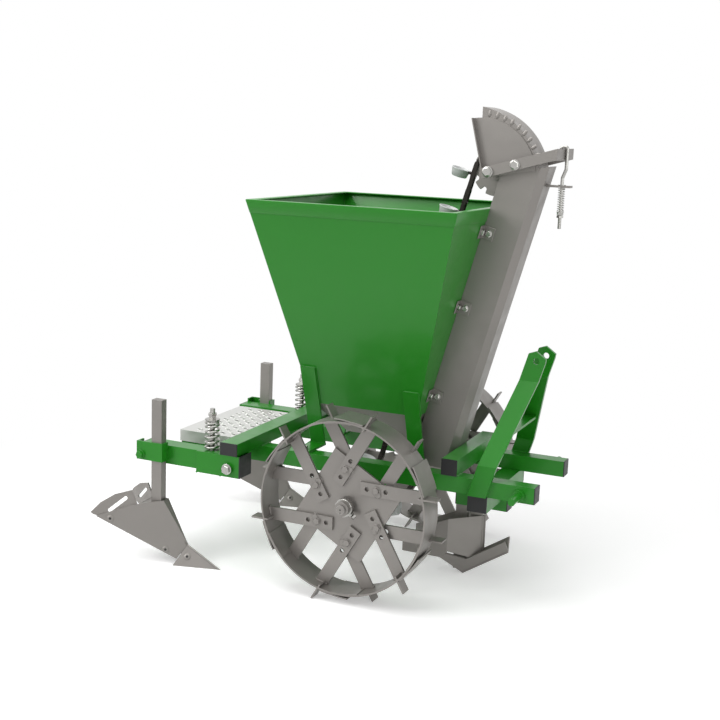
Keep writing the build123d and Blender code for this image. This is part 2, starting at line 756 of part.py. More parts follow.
with BuildPart() as opener:
    for side, sign in SIDES:
        plate_top = [(opener_rear_ahead, opener_rear_top), (opener_fold_ahead, opener_fold_top)]
        straight = [(opener_rear_ahead, opener_floor), (opener_heel_ahead, opener_floor),
                    (opener_fold_ahead, share_height(opener_fold_ahead, opener_half))] + plate_top[::-1]
        extrude(side_view(sign * opener_half, straight), amount=sign * opener_sheet)
        flare = [(ahead(opener_fold_ahead), sign * opener_half,
                  share_height(opener_fold_ahead, opener_half) + 1.5 * share_sheet),
                 (ahead(opener_nose_ahead), 0, share_height(opener_nose_ahead, 0) + 1.5 * share_sheet),
                 (ahead(opener_nose_ahead), 0, opener_nose_top),
                 (ahead(opener_fold_ahead), sign * opener_half, opener_fold_top)]
        tilted = sheet_plane(*flare[:3])
        extrude(flat_sheet(tilted, flare), amount=sign * opener_sheet)
    add(share.part, mode=Mode.SUBTRACT)
save(opener.part, "opener_body")

# The shanks stop inside the share's upper faces, on a line above its keel
shank_seat = 2.07 * share_sheet + 2
shank_end = [(share_low_ahead - 3 * shank_wide, -shank_wide), (share_low_ahead - 3 * shank_wide, shank_seat),
             (share_low_ahead, shank_seat), (share_tip_ahead, shank_seat + share_tip_z),
             (share_tip_ahead, -shank_wide)]
with BuildPart() as shanks:
    for shank_ahead in (shank_rear_ahead, shank_front_ahead):
        with BuildSketch(Plane.XY.offset(carrier_z - carrier_high / 2)):
            with Locations((ahead(shank_ahead), 0)):
                Rectangle(shank_wide, shank_thick)
        extrude(amount=-(carrier_z - carrier_high / 2 - share_height(shank_ahead, 0)))
    extrude(side_view(0, shank_end), amount=shank_wide, both=True, mode=Mode.SUBTRACT)
    add(share.part, mode=Mode.SUBTRACT)
    add(opener.part, mode=Mode.SUBTRACT)
save(shanks.part, "opener_shanks")

# Step plate behind the rear cross beam
step_front_ahead = rear_cross_ahead - rear_cross_wide / 2 - seat_gap
with BuildPart() as step_plate:
    step_long = step_front_ahead - step_rear_ahead
    step_mid = ahead((step_front_ahead + step_rear_ahead) / 2)
    with BuildSketch(Plane.XY.offset(step_top - step_sheet)):
        with Locations((step_mid, 0)):
            Rectangle(step_long, 2 * step_half)
            with GridLocations(step_hole_spacing, step_hole_spacing, *step_holes):
                Circle(step_hole_radius, mode=Mode.SUBTRACT)
    extrude(amount=step_sheet)
    for end_x in (ahead(step_rear_ahead) + step_sheet / 2, ahead(step_front_ahead) - step_sheet / 2):
        with Locations((end_x, 0, (step_top + beam_top) / 2)):
            Box(step_sheet, 2 * step_half, step_top - beam_top)
    for sign in (-1, 1):
        with Locations((step_mid, sign * (step_half - step_sheet / 2), step_top - step_side_drop / 2)):
            Box(step_long, step_sheet, step_side_drop)
save(step_plate.part, "step_plate")

# Hillers: bracket, sprung arm, clamp, leg and ridging body on each side
arm_bottom = arm_top - arm_size
arm_outer = arm_y + arm_size / 2
leg_y = arm_outer + seat_gap + hiller_leg_thick / 2
leg_front_ahead = hiller_leg_ahead + hiller_leg_long / 2
leg_rear_ahead = hiller_leg_ahead - hiller_leg_long / 2
bracket_half = arm_size / 2 + bracket_play
spring_low = arm_top + seat_gap
spring_high = spring_low + spring_height
ridge_top_ahead = leg_front_ahead + 10

for side, sign in SIDES:
    with BuildPart() as bracket:
        for face in (-1, 1):
            y_mid = sign * arm_y + face * (bracket_half + bracket_sheet / 2)
            with Locations((ahead((bracket_rear_ahead + bracket_front_ahead) / 2), y_mid,
                            (bracket_bottom + beam_top) / 2)):
                Box(bracket_front_ahead - bracket_rear_ahead, bracket_sheet, beam_top - bracket_bottom)
        with Locations((ahead((bracket_rear_ahead + bracket_front_ahead) / 2), sign * arm_y,
                        bracket_bottom + bracket_sheet / 2)):
            Box(bracket_front_ahead - bracket_rear_ahead, 2 * (bracket_half + bracket_sheet), bracket_sheet)
        with Locations(Location((ahead(pivot_ahead), sign * arm_y, pivot_z), (90, 0, 0))):
            Cylinder(pivot_radius + running_gap, 3 * arm_size, mode=Mode.SUBTRACT)
        with Locations((ahead(spring_ahead), sign * arm_y, bracket_bottom)):
            Cylinder(spring_bolt_radius + running_gap, 8 * bracket_sheet, mode=Mode.SUBTRACT)
    save(bracket.part, f"hiller_bracket_{side}")

    with BuildPart() as arm:
        arm_mid = ahead((arm_rear_ahead + arm_front_ahead) / 2)
        with Locations((arm_mid, sign * arm_y, arm_top - arm_size / 2)):
            Box(arm_front_ahead - arm_rear_ahead, arm_size, arm_size)
            Box(arm_front_ahead - arm_rear_ahead, arm_size - 2 * tube_wall, arm_size - 2 * tube_wall,
                mode=Mode.SUBTRACT)
        with Locations(Location((ahead(pivot_ahead), sign * arm_y, pivot_z), (90, 0, 0))):
            Cylinder(pivot_radius + running_gap, 3 * arm_size, mode=Mode.SUBTRACT)
        with Locations((ahead(spring_ahead), sign * arm_y, arm_top - arm_size / 2)):
            Cylinder(spring_bolt_radius + running_gap, 2 * arm_size, mode=Mode.SUBTRACT)
    save(arm.part, f"hiller_arm_{side}")

    with BuildPart() as clamp:
        clamp_outer = leg_y + hiller_leg_thick / 2 + seat_gap
        clamp_front_ahead = leg_front_ahead + seat_gap + clamp_sheet
        plates = (
            (clamp_rear_ahead, clamp_front_ahead, clamp_outer, clamp_outer + clamp_sheet),
            (clamp_rear_ahead, clamp_rear_ahead + clamp_sheet, arm_outer, clamp_outer),
            (leg_front_ahead + seat_gap, clamp_front_ahead, arm_outer, clamp_outer),
            (leg_rear_ahead - seat_gap - clamp_sheet, leg_rear_ahead - seat_gap, arm_outer, clamp_outer),
        )
        for rear, front, inner, outer in plates:
            with Locations((ahead((rear + front) / 2), sign * (inner + outer) / 2,
                            (clamp_bottom + clamp_top) / 2)):
                Box(front - rear, outer - inner, clamp_top - clamp_bottom)
    save(clamp.part, f"hiller_clamp_{side}")

    with BuildPart() as hiller_leg:
        with Locations((ahead(hiller_leg_ahead), sign * leg_y, (hiller_leg_top + hiller_leg_bottom) / 2)):
            Box(hiller_leg_long, hiller_leg_thick, hiller_leg_top - hiller_leg_bottom)
    save(hiller_leg.part, f"hiller_leg_{side}")

    # Ridging body: a nose and two wings that sweep back, with a frog behind
    to_leg = Pos(0, sign * leg_y, 0)
    nose_low = (ahead(ridge_low_ahead), 0, ridge_low_z)
    wing_planes = {}
    with BuildPart() as body:
        nose = [(ahead(ridge_top_ahead), -ridge_half, ridge_top_z),
                (ahead(ridge_top_ahead), ridge_half, ridge_top_z), nose_low]
        extrude(flat_sheet(sheet_plane(*nose), nose), amount=wing_sheet)
        for wing in (-1, 1):
            corner = (ahead(ridge_top_ahead), wing * ridge_half, ridge_top_z)
            rear = (ahead(wing_rear_ahead), wing * wing_rear_half, wing_rear_z)
            wing_planes[wing] = sheet_plane(corner, nose_low, rear)
            blade = [corner] + [on_plane(wing_planes[wing], *spot) for spot in wing_corners] + [nose_low]
            extrude(flat_sheet(wing_planes[wing], blade), amount=-wing * wing_sheet)
        with BuildSketch(Plane.XZ):
            with BuildLine():
                Polyline((ahead(leg_front_ahead) + seat_gap, ridge_top_z - 25),
                         (ahead(ridge_top_ahead) + 4, ridge_top_z - 25),
                         (ahead(ridge_low_ahead) - 6, ridge_low_z),
                         (ahead(leg_front_ahead) + seat_gap, hiller_leg_bottom), close=True)
            make_face()
        extrude(amount=frog_thick / 2, both=True)
    save(to_leg * body.part, f"hiller_body_{side}")

    # Adjustable wing ends, flat plates behind the wings with a slot for their bolt
    with BuildPart() as wing_ends:
        for wing in (-1, 1):
            slant = wing_planes[wing]
            shift = (wing_sheet + extension_sheet) * abs(slant.z_dir.X)
            tip = (shift - tail_reach, wing_tip_z)
            rim_line = [on_plane(slant, *spot) for spot in (tip,) + extension_corners]
            behind = slant.offset(-wing * wing_sheet)
            moved = [Vector(*spot) - slant.z_dir * wing * wing_sheet for spot in rim_line]
            local = [behind.to_local_coords(spot) for spot in moved]
            slot = [behind.to_local_coords(Vector(*on_plane(slant, *spot))) for spot in extension_slot]
            with BuildSketch(behind):
                with BuildLine():
                    Polyline(*[(spot.X, spot.Y) for spot in local], close=True)
                make_face()
                run = Vector(slot[1].X - slot[0].X, slot[1].Y - slot[0].Y)
                turned = math.degrees(math.atan2(run.Y, run.X))
                with Locations(Location(((slot[0].X + slot[1].X) / 2, (slot[0].Y + slot[1].Y) / 2), turned)):
                    SlotCenterToCenter(run.length, slot_height, mode=Mode.SUBTRACT)
            extrude(amount=-wing * extension_sheet)
    save(to_leg * wing_ends.part, f"hiller_wing_ends_{side}")

    # Share: a three-sided point under the nose, its lower edges flat on the floor
    with BuildPart() as point:
        for wing in (-1, 1):
            blade = [(ahead(hiller_tip_ahead), 0, 0), (ahead(share_heel_ahead), wing * share_half, 0),
                     nose_low]
            extrude(flat_sheet(sheet_plane(*blade), blade), amount=-wing * wing_sheet)
        split(bisect_by=Plane.XY, keep=Keep.TOP)
        add(body.part, mode=Mode.SUBTRACT)
    save(to_leg * point.part, f"hiller_share_{side}")

# Springs that press the hiller arms down, and the bolts that hold springs and arms
with BuildPart() as hiller_springs:
    for side, sign in SIDES:
        add(coil_stack(ahead(spring_ahead), sign * arm_y, spring_low, spring_high,
                       spring_radius, spring_wire, spring_coils))
save(hiller_springs.part, "hiller_springs")

with BuildPart() as hiller_bolts:
    for side, sign in SIDES:
        spring_x = ahead(spring_ahead)
        bolt_low = bracket_bottom - bolt_head
        with BuildSketch(Plane.XY.offset(bolt_low)):
            with Locations((spring_x, sign * arm_y)):
                Circle(spring_bolt_radius)
        extrude(amount=spring_bolt_top - bolt_low)
        # Hexagons and washer, each with its lower face, height and size
        for low, high, size in ((bolt_low, bolt_head - seat_gap, 1.6 * spring_bolt_radius),
                                (spring_high + seat_gap + washer, bolt_head + 3, 1.6 * spring_bolt_radius)):
            with BuildSketch(Plane.XY.offset(low)):
                with Locations((spring_x, sign * arm_y)):
                    RegularPolygon(size, 6)
            extrude(amount=high)
        with BuildSketch(Plane.XY.offset(spring_high + seat_gap)):
            with Locations((spring_x, sign * arm_y)):
                Circle(spring_radius - 2)
        extrude(amount=washer)
        bracket_face = bracket_half + bracket_sheet + seat_gap
        with Locations(Location((ahead(pivot_ahead), sign * arm_y, pivot_z), (90, 0, 0))):
            Cylinder(pivot_radius, 2 * (bracket_face + bolt_head))
        for face in (-1, 1):
            y_mid = sign * arm_y + face * (bracket_face + bolt_head / 2)
            with Locations(Location((ahead(pivot_ahead), y_mid, pivot_z), (90, 0, 0))):
                Cylinder(1.6 * pivot_radius, bolt_head)
save(hiller_bolts.part, "hiller_bolts")

# Axle and wheels turn as one
with BuildPart() as axle:
    with Locations(Location((axle_x, 0, axle_z), (90, 0, 0))):
        Cylinder(axle_radius, 2 * (shaft_end_y + axle_overhang))
save(axle.part, "axle")

for side, sign in SIDES:
    wheel_mid = sign * wheel_y
    wheel_plane = Plane(origin=(axle_x, wheel_mid, axle_z), x_dir=(1, 0, 0), z_dir=(0, sign, 0))
    turn = 360 / spoke_count

    with BuildPart() as rim:
        with BuildSketch(wheel_plane):
            Circle(rim_radius)
            Circle(rim_radius - rim_thick, mode=Mode.SUBTRACT)
        extrude(amount=rim_width / 2, both=True)
        lug_y = hub_plate_thick / 2 + spoke_thick + seat_gap
        lug_low = rim_radius - rim_thick - lug_root
        for n in range(spoke_count):
            for face in (-1, 1):
                angle = math.radians(n * turn)
                reach = lug_radius * math.cos(math.radians(lug_angle))
                offset_now = face * lug_radius * math.sin(math.radians(lug_angle))
                inward = face * lug_thick / 2
                middle = (reach + lug_low) / 2
                spot_x = middle * math.cos(angle) - (offset_now - inward) * math.sin(angle)
                spot_y = middle * math.sin(angle) + (offset_now - inward) * math.cos(angle)
                level = wheel_plane.offset(face * (lug_y + lug_wide / 2))
                with BuildSketch(level):
                    with Locations(Location((spot_x, spot_y), n * turn)):
                        Rectangle(reach - lug_low, lug_thick)
                extrude(amount=lug_wide / 2, both=True)
    save(rim.part, f"wheel_rim_{side}")

    with BuildPart() as spokes:
        for face in (-1, 1):
            level = wheel_plane.offset(face * (hub_plate_thick + spoke_thick) / 2)
            for n in range(spoke_count):
                angle = math.radians(n * turn)
                far = rim_radius - rim_thick
                with BuildSketch(level):
                    middle = (spoke_start + far) / 2
                    with Locations(Location((
                            middle * math.cos(angle) - face * spoke_offset * math.sin(angle),
                            middle * math.sin(angle) + face * spoke_offset * math.cos(angle)), n * turn)):
                        Rectangle(far - spoke_start, spoke_wide)
                        for hole in spoke_holes:
                            with Locations((hole - middle, 0)):
                                Circle(spoke_hole_radius, mode=Mode.SUBTRACT)
                extrude(amount=spoke_thick / 2, both=True)
        with BuildSketch(wheel_plane):
            Circle(rim_radius - rim_thick - seat_gap)
        extrude(amount=rim_width, both=True, mode=Mode.INTERSECT)
    save(spokes.part, f"wheel_spokes_{side}")

    with BuildPart() as hub:
        with BuildSketch(wheel_plane):
            with Locations(Location((0, 0), hub_plate_turn)):
                Rectangle(hub_plate_side, hub_plate_side)
        extrude(amount=hub_plate_thick / 2, both=True)
        with BuildSketch(wheel_plane):
            Circle(collar_radius)
        extrude(amount=shaft_end_y - wheel_y)
        with BuildSketch(wheel_plane):
            Circle(axle_radius + running_gap)
        extrude(amount=rim_width, both=True, mode=Mode.SUBTRACT)
    save(hub.part, f"wheel_hub_{side}")
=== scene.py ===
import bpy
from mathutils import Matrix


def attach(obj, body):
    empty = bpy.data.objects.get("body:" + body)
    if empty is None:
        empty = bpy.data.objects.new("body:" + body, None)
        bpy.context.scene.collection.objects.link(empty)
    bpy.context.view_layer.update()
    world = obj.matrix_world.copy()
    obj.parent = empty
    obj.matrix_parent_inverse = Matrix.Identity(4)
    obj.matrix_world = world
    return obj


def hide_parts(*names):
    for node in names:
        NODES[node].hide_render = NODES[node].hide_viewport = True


bl_info = {
    "name": "Potato planter dressing",
    "version": (1, 0, 0),
    "blender": (4, 5, 0),
    "location": "View3D > Sidebar > Planter",
    "description": "Paint, fasteners, springs, chain and studio for a single-row potato planter",
    "category": "Object",
}

import math

import bpy
import numpy as np
from bpy.props import FloatProperty, FloatVectorProperty, IntProperty, PointerProperty
from mathutils import Matrix, Vector

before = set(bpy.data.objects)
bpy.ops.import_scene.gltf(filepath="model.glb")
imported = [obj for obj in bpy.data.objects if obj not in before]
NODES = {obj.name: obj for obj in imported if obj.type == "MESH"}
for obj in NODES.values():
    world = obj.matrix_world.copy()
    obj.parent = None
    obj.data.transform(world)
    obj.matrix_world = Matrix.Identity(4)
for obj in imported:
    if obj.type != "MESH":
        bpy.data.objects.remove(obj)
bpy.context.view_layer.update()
MM = 0.001
SIDES = (-1, 1)
UP = (0, 0, 1)

# Places shared with the part's source, in millimetres; "ahead" is measured forward from the axle,
# and HOPPER_LEGS holds each leg's place ahead and its top's height
AXLE_AHEAD = 171.5
AXLE_Z = 304.0 * math.cos(math.radians(16.2))
WHEEL_Y = 378.0
RIM_RADIUS = 265.0
RIM_WIDTH = 105.0
RIM_THICK = 5.0
BEAM_Y = 168.5
BEAM_TOP = 375.0
BEAM_BOTTOM = 325.0
TUBE = 50.0
HOPPER_TOP = 1168.0
FRONT_SLOPE = 0.265
REAR_SLOPE = 130.0 / 644.0
SIDE_SLOPE = 227.0 / 644.0
CHAIN_PITCH = 41.1
UPPER_AHEAD = 283.0
RUN_PITCHES = 25
SPROCKET_TEETH = 10
ELEVATOR_LEAN = math.asin(UPPER_AHEAD / (RUN_PITCHES * CHAIN_PITCH))
UPPER_Z = AXLE_Z + RUN_PITCHES * CHAIN_PITCH * math.cos(ELEVATOR_LEAN)
ARM_Y = 314.5
HILLER_Y = 358.8
HOPPER_BOTTOM = 524.0
HOPPER_TOP_HALF = 350.0
HOPPER_LOW_HALF = 123.0
HOPPER_FRONT_AHEAD = 282.66
HOPPER_REAR_AHEAD = -381.0
HOPPER_LOW_FRONT = 112.0
HOPPER_LEGS = ((97, 605), (-247, 648))
CLIP_HEIGHTS = (1102, 871, 586)
MAST_FOOT_AHEAD = 311.0
MAST_WIDE = 58.0
MAST_LEAN = (457.0 - MAST_WIDE / 2 - MAST_FOOT_AHEAD) / (727.0 - BEAM_BOTTOM)
SPOKE_OFFSET = 62.0
SPOKE_BOLT_OUT = 94.0
SPRING_AHEAD = -505.0
SPRING_LOW, SPRING_HIGH = 375.0, 470.6
HOOK_AHEAD = UPPER_AHEAD + 200
ARM_PIVOT_AHEAD, ARM_PIVOT_Z = -425, 334
CLAMP_AHEAD, CLAMP_BOLT_Z = -729, 343
LEG_AHEAD = -742
BRACKET_ENDS = (-540, -454)
STEP_HOLE_SPACING = 42
HOLE_ROWS = 4
HOLE_EDGE = 7.9
STEP_AHEAD, STEP_TOP = (-454.3 - 695.0) / 2, 391.0


def linear(code):
    """A hex colour as written for a screen, turned to linear light."""
    srgb = np.array([int(code[n:n + 2], 16) for n in (0, 2, 4)]) / 255
    return tuple(np.where(srgb <= 0.04045, srgb / 12.92, ((srgb + 0.055) / 1.055) ** 2.4))


def spot(ahead, y, z):
    """A point in the part's frame, from millimetres forward of the axle, left and up."""
    return np.array([AXLE_AHEAD + ahead, y, z], float)


# Surfaces: each gives (vertices in mm, list of faces)

def grid(points, wrap_rows=False, wrap_columns=False, cap_rows=False):
    """Quads over a rows x columns x 3 array, the last row or column joined to the first where wrapped.

    With cap_rows each end row is closed by a fan round its mean point.
    """
    rows, columns = points.shape[:2]
    number = np.arange(rows * columns).reshape(rows, columns)
    r = number if not wrap_rows else np.vstack([number, number[:1]])
    c = r if not wrap_columns else np.hstack([r, r[:, :1]])
    quads = np.stack([c[:-1, :-1], c[:-1, 1:], c[1:, 1:], c[1:, :-1]], -1).reshape(-1, 4)
    vertices = points.reshape(-1, 3)
    faces = [tuple(q) for q in quads.tolist()]
    if cap_rows:
        vertices = np.vstack([vertices, points[0].mean(0), points[-1].mean(0)])
        low, high = rows * columns, rows * columns + 1
        first, last = number[0].tolist(), number[-1].tolist()
        faces += [(low, b, a) for a, b in zip(first, first[1:] + first[:1])]
        faces += [(high, a, b) for a, b in zip(last, last[1:] + last[:1])]
    return vertices, faces


def axes_of(direction, hint=(0, 0, 1)):
    """Two directions square to one direction and to each other: u, v with u x v along it."""
    w = np.array(direction, float)
    w /= np.linalg.norm(w)
    hint = np.array(hint, float)
    if abs(hint @ w) > 0.95:
        hint = np.array([1.0, 0, 0])
    u = np.cross(hint, w)
    u /= np.linalg.norm(u)
    return u, np.cross(w, u), w


def turned(profile, centre, direction, around=24, hint=(0, 0, 1), first=0.0):
    """Surface of revolution, capped: centre + z w + r (u cos a + v sin a) for each (r, z) of the profile."""
    u, v, w = axes_of(direction, hint)
    a = np.linspace(0, 2 * np.pi, around, endpoint=False) + first
    ring = np.cos(a)[:, None] * u + np.sin(a)[:, None] * v
    r, z = np.array(profile, float).T
    points = np.array(centre, float) + z[:, None, None] * w + r[:, None, None] * ring
    return grid(points, wrap_columns=True, cap_rows=True)


def carried(path, section, hint=(0, 0, 1), closed=False, scale=None):
    """A closed section (side, up) carried along a path: path + side s + up n, with n nearest to the hint."""
    path, section = np.array(path, float), np.array(section, float)
    ahead = (np.roll(path, -1, 0) - np.roll(path, 1, 0)) if closed else np.gradient(path, axis=0)
    ahead /= np.linalg.norm(ahead, axis=1)[:, None]
    side = np.cross(ahead, np.broadcast_to(np.array(hint, float), ahead.shape))
    side /= np.linalg.norm(side, axis=1)[:, None]
    up = np.cross(side, ahead)
    size = np.ones(len(path)) if scale is None else np.array(scale, float)
    points = (path[:, None] + size[:, None, None] * (side[:, None] * section[None, :, :1]
                                                      + up[:, None] * section[None, :, 1:]))
    return grid(points, wrap_rows=closed, wrap_columns=True, cap_rows=not closed)


def slab(corners, centre, u, v, thick, edge=0.8):
    """A flat plate: its outline in (u, v) drawn in by the edge size at both faces, and full between them."""
    corners = np.array(corners, float)
    u, v = np.array(u, float), np.array(v, float)
    w = np.cross(u, v)
    before, after = corners - np.roll(corners, 1, 0), np.roll(corners, -1, 0) - corners
    before /= np.linalg.norm(before, axis=1)[:, None]
    after /= np.linalg.norm(after, axis=1)[:, None]
    inward = np.stack([-(before[:, 1] + after[:, 1]), before[:, 0] + after[:, 0]], -1)
    inward /= (1 + (before * after).sum(1))[:, None]
    small = corners + edge * inward
    rows = [(small, 0), (corners, edge), (corners, thick - edge), (small, thick)]
    centre = np.array(centre, float)
    points = np.array([[centre + x * u + y * v + z * w for x, y in flat] for flat, z in rows])
    return grid(points, wrap_columns=True, cap_rows=True)


def block(centre, size, u=(1, 0, 0), v=(0, 1, 0), edge=0.8):
    """A box with chamfered edges on two faces, its size along u, v and their cross."""
    a, b, c = np.array(size, float) / 2
    u, v = np.array(u, float), np.array(v, float)
    face = np.array(centre, float) - c * np.cross(u, v)
    return slab([(-a, -b), (a, -b), (a, b), (-a, b)], face, u, v, 2 * c, edge)


def hexagon_head(place, direction, across, high, first=0.0):
    """A hexagon with its outer corners chamfered: radius across/sqrt 3, six sides."""
    r = across / math.sqrt(3)
    profile = [(r * 0.96, 0), (r, 0.05 * high), (r, 0.78 * high), (0.84 * r, high)]
    return turned(profile, place, direction, 6, first=first)


def bolt(place, direction, size, head=0.65, first=0.3):
    """A washer and a hexagon head, for a bolt of that shank size."""
    w = axes_of(direction)[2]
    place = np.array(place, float)
    washer = 0.16 * size
    inner, outer = 1.02 * size, 1.08 * size
    ring = [(inner, 0), (outer, 0.3 * washer), (outer, 0.8 * washer), (inner, washer)]
    return [turned(ring, place, direction, 28),
            hexagon_head(place + w * washer, direction, 1.6 * size, head * size, first)]


def thread(place, direction, size, long):
    """A screw thread drawn as rings: radius = size/2 less a saw-tooth of one tenth of the size."""
    pitch = max(1.25, 0.15 * size)
    count = max(2, int(long / pitch))
    profile = []
    for n in range(count):
        profile += [(0.43 * size, n * pitch), (0.5 * size, (n + 0.5) * pitch)]
    profile += [(0.43 * size, count * pitch), (0.36 * size, count * pitch + 0.08 * size)]
    return turned(profile, place, direction, 14)


def helix(foot, low, high, radius, wire, coils, sides=8, steps=26):
    """A compression spring: z rises slowly over the end coils and evenly between, radius constant."""
    t = np.linspace(0, 1, int(coils * steps) + 1)
    closed, rise = 0.9 / coils, wire * 0.95 / (high - low - wire)
    eased = np.interp(t, [0, closed, 1 - closed, 1], [0, rise, 1 - rise, 1])
    a = 2 * np.pi * coils * t
    mid = radius - wire / 2
    path = np.stack([foot[0] + mid * np.cos(a), foot[1] + mid * np.sin(a),
                     low + wire / 2 + eased * (high - low - wire)], -1)
    b = np.linspace(0, 2 * np.pi, sides, endpoint=False)
    return carried(path, np.stack([wire / 2 * np.cos(b), wire / 2 * np.sin(b)], -1))


def weld(start, end, size, hint=(0, 0, 1), pitch=4.5):
    """A fillet bead from start to end, six-sided: radius is size (1 + 0.16 |sin|) at each ripple."""
    start, end = np.array(start, float), np.array(end, float)
    long = np.linalg.norm(end - start)
    count = max(6, int(long / pitch * 4))
    t = np.linspace(0, 1, count + 1)
    path = start + (end - start) * t[:, None]
    along = t * long
    scale = 1 + 0.16 * np.abs(np.sin(np.pi * along / pitch))
    scale[0] = scale[-1] = 0.45
    b = np.linspace(0, 2 * np.pi, 6, endpoint=False)
    return carried(path, size * np.stack([np.cos(b), np.sin(b)], -1), hint, scale=scale)


def on_wheel(sign, points):
    """Wheel places (across, up, outward) turned onto the right or left wheel, each a turn and no mirror."""
    points = np.array(points, float)
    return np.stack([AXLE_AHEAD + points[..., 0], sign * (WHEEL_Y + points[..., 2]),
                     AXLE_Z - sign * points[..., 1]], -1)


def curved_strip(radius, angles, width, thick):
    """A strip bent round the wheel: at each angle its section (across, outward) stands on that radius."""
    half, (low, high) = width / 2, thick
    section = np.array([(-half, low), (half, low), (half, high), (-half, high)])
    outward = np.broadcast_to(radius, angles.shape)[:, None] + section[:, 1]
    points = np.stack([outward * np.cos(angles)[:, None], outward * np.sin(angles)[:, None],
                       np.broadcast_to(section[:, 0], outward.shape)], -1)
    return grid(points[:, ::-1], wrap_columns=True, cap_rows=True)


def moved_to_wheel(sign, part):
    """A surface made in wheel places, put on that side's wheel."""
    vertices, faces = part
    return on_wheel(sign, vertices), faces


def piece(name, parts, material, body, smooth_under=35.0):
    """One mesh from a list of surfaces, with edges sharper than the angle kept crisp."""
    vertices, faces, start = [], [], 0
    for points, quads in parts:
        vertices.append(np.array(points, float) * MM)
        faces += [tuple(n + start for n in q) for q in quads]
        start += len(points)
    mesh = bpy.data.meshes.new(name)
    mesh.from_pydata(np.vstack(vertices).tolist(), [], faces)
    mesh.update()
    obj = bpy.data.objects.new(name, mesh)
    bpy.context.scene.collection.objects.link(obj)
    mesh.materials.append(bpy.data.materials[material])
    mesh.shade_smooth()
    mesh.set_sharp_from_angle(angle=math.radians(smooth_under))
    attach(obj, body)
    return obj


# Materials

def add_node(tree, kind, place=(0, 0), inputs=(), **settings):
    """Add a node, set its properties, then each input from a value or from another node's output."""
    node = tree.nodes.new(kind)
    node.location = place
    for key, value in settings.items():
        setattr(node, key, value)
    for key, value in dict(inputs).items():
        if isinstance(value, bpy.types.NodeSocket):
            tree.links.new(value, node.inputs[key])
        else:
            node.inputs[key].default_value = value
    return node


def finish_material(name, colour, metallic, roughness, grain_mm, tone=0.06, rough_swing=0.06, bump=0.0,
                    bump_mm=1.0, coat=0.0, coat_roughness=0.1, stretch=(1, 1, 1), edge_mm=0.0):
    """A metal, paint or plastic: a colour toned by a slow cloud, roughness by a finer one, a fine bump."""
    material = bpy.data.materials.new(name)
    material.use_nodes = True
    tree = material.node_tree
    tree.nodes.clear()
    place = add_node(tree, "ShaderNodeTexCoord", (-1200, 0)).outputs["Object"]
    mapping = add_node(tree, "ShaderNodeMapping", (-1000, 0), {"Vector": place, "Scale": stretch})
    lie = mapping.outputs["Vector"]
    cloud = add_node(tree, "ShaderNodeTexNoise", (-800, 200), {
        "Vector": lie, "Scale": 1000 / grain_mm / 8, "Detail": 4.0})
    fine = add_node(tree, "ShaderNodeTexNoise", (-800, -100), {
        "Vector": lie, "Scale": 1000 / grain_mm, "Detail": 3.0})
    dark = [c * (1 - tone) for c in colour[:3]] + [1]
    pale = [min(1, c * (1 + tone)) for c in colour[:3]] + [1]
    shade = add_node(tree, "ShaderNodeMix", (-500, 250), {"Factor": cloud.outputs["Fac"]}, data_type="RGBA")
    shade.inputs[6].default_value = dark
    shade.inputs[7].default_value = pale
    rough = add_node(tree, "ShaderNodeMapRange", (-500, 0), {
        "Value": fine.outputs["Fac"], "From Min": 0.3, "From Max": 0.7,
        "To Min": max(0.02, roughness - rough_swing), "To Max": roughness + rough_swing})
    shader = add_node(tree, "ShaderNodeBsdfPrincipled", (0, 0), {
        "Base Color": shade.outputs[2], "Roughness": rough.outputs["Result"], "Metallic": metallic,
        "Specular IOR Level": 0.3 if coat else 0.5,
        "Coat Weight": coat, "Coat Roughness": coat_roughness})
    normal = None
    if edge_mm:
        bevel = add_node(tree, "ShaderNodeBevel", (-700, -400), {"Radius": edge_mm * MM}, samples=4)
        normal = bevel.outputs["Normal"]
    if bump:
        peel = add_node(tree, "ShaderNodeTexNoise", (-800, -300), {
            "Vector": lie, "Scale": 1000 / bump_mm, "Detail": 2.0})
        relief = add_node(tree, "ShaderNodeBump", (-300, -300), {
            "Height": peel.outputs["Fac"], "Strength": bump, "Distance": 0.0004})
        if normal:
            tree.links.new(normal, relief.inputs["Normal"])
        normal = relief.outputs["Normal"]
    if normal:
        tree.links.new(normal, shader.inputs["Normal"])
    out = add_node(tree, "ShaderNodeOutputMaterial", (300, 0))
    tree.links.new(shader.outputs["BSDF"], out.inputs["Surface"])
    return material


class PlanterFinishes(bpy.types.PropertyGroup):
    green: FloatVectorProperty(name="Green paint", description="Colour of the powder-coated frame and hopper",
                               subtype="COLOR", size=3, min=0, max=1, default=linear("1F8018"))
    steel: FloatVectorProperty(name="Silver paint", description="Colour of wheels, fall tube and blades",
                               subtype="COLOR", size=3, min=0, max=1, default=linear("8B8783"))
    zinc: FloatVectorProperty(name="Zinc plating", description="Colour of bolts, springs and clips",
                              subtype="COLOR", size=3, min=0, max=1, default=linear("B0AFAB"))
    chain: FloatVectorProperty(name="Chain steel", description="Colour of the oiled chain",
                               subtype="COLOR", size=3, min=0, max=1, default=linear("33302D"))
    cups: FloatVectorProperty(name="Cups", description="Colour of the moulded seed cups",
                              subtype="COLOR", size=3, min=0, max=1, default=linear("CDCFCE"))
    plastic: FloatVectorProperty(name="Black plastic", description="Colour of the tube end caps",
                                 subtype="COLOR", size=3, min=0, max=1, default=linear("18191A"))


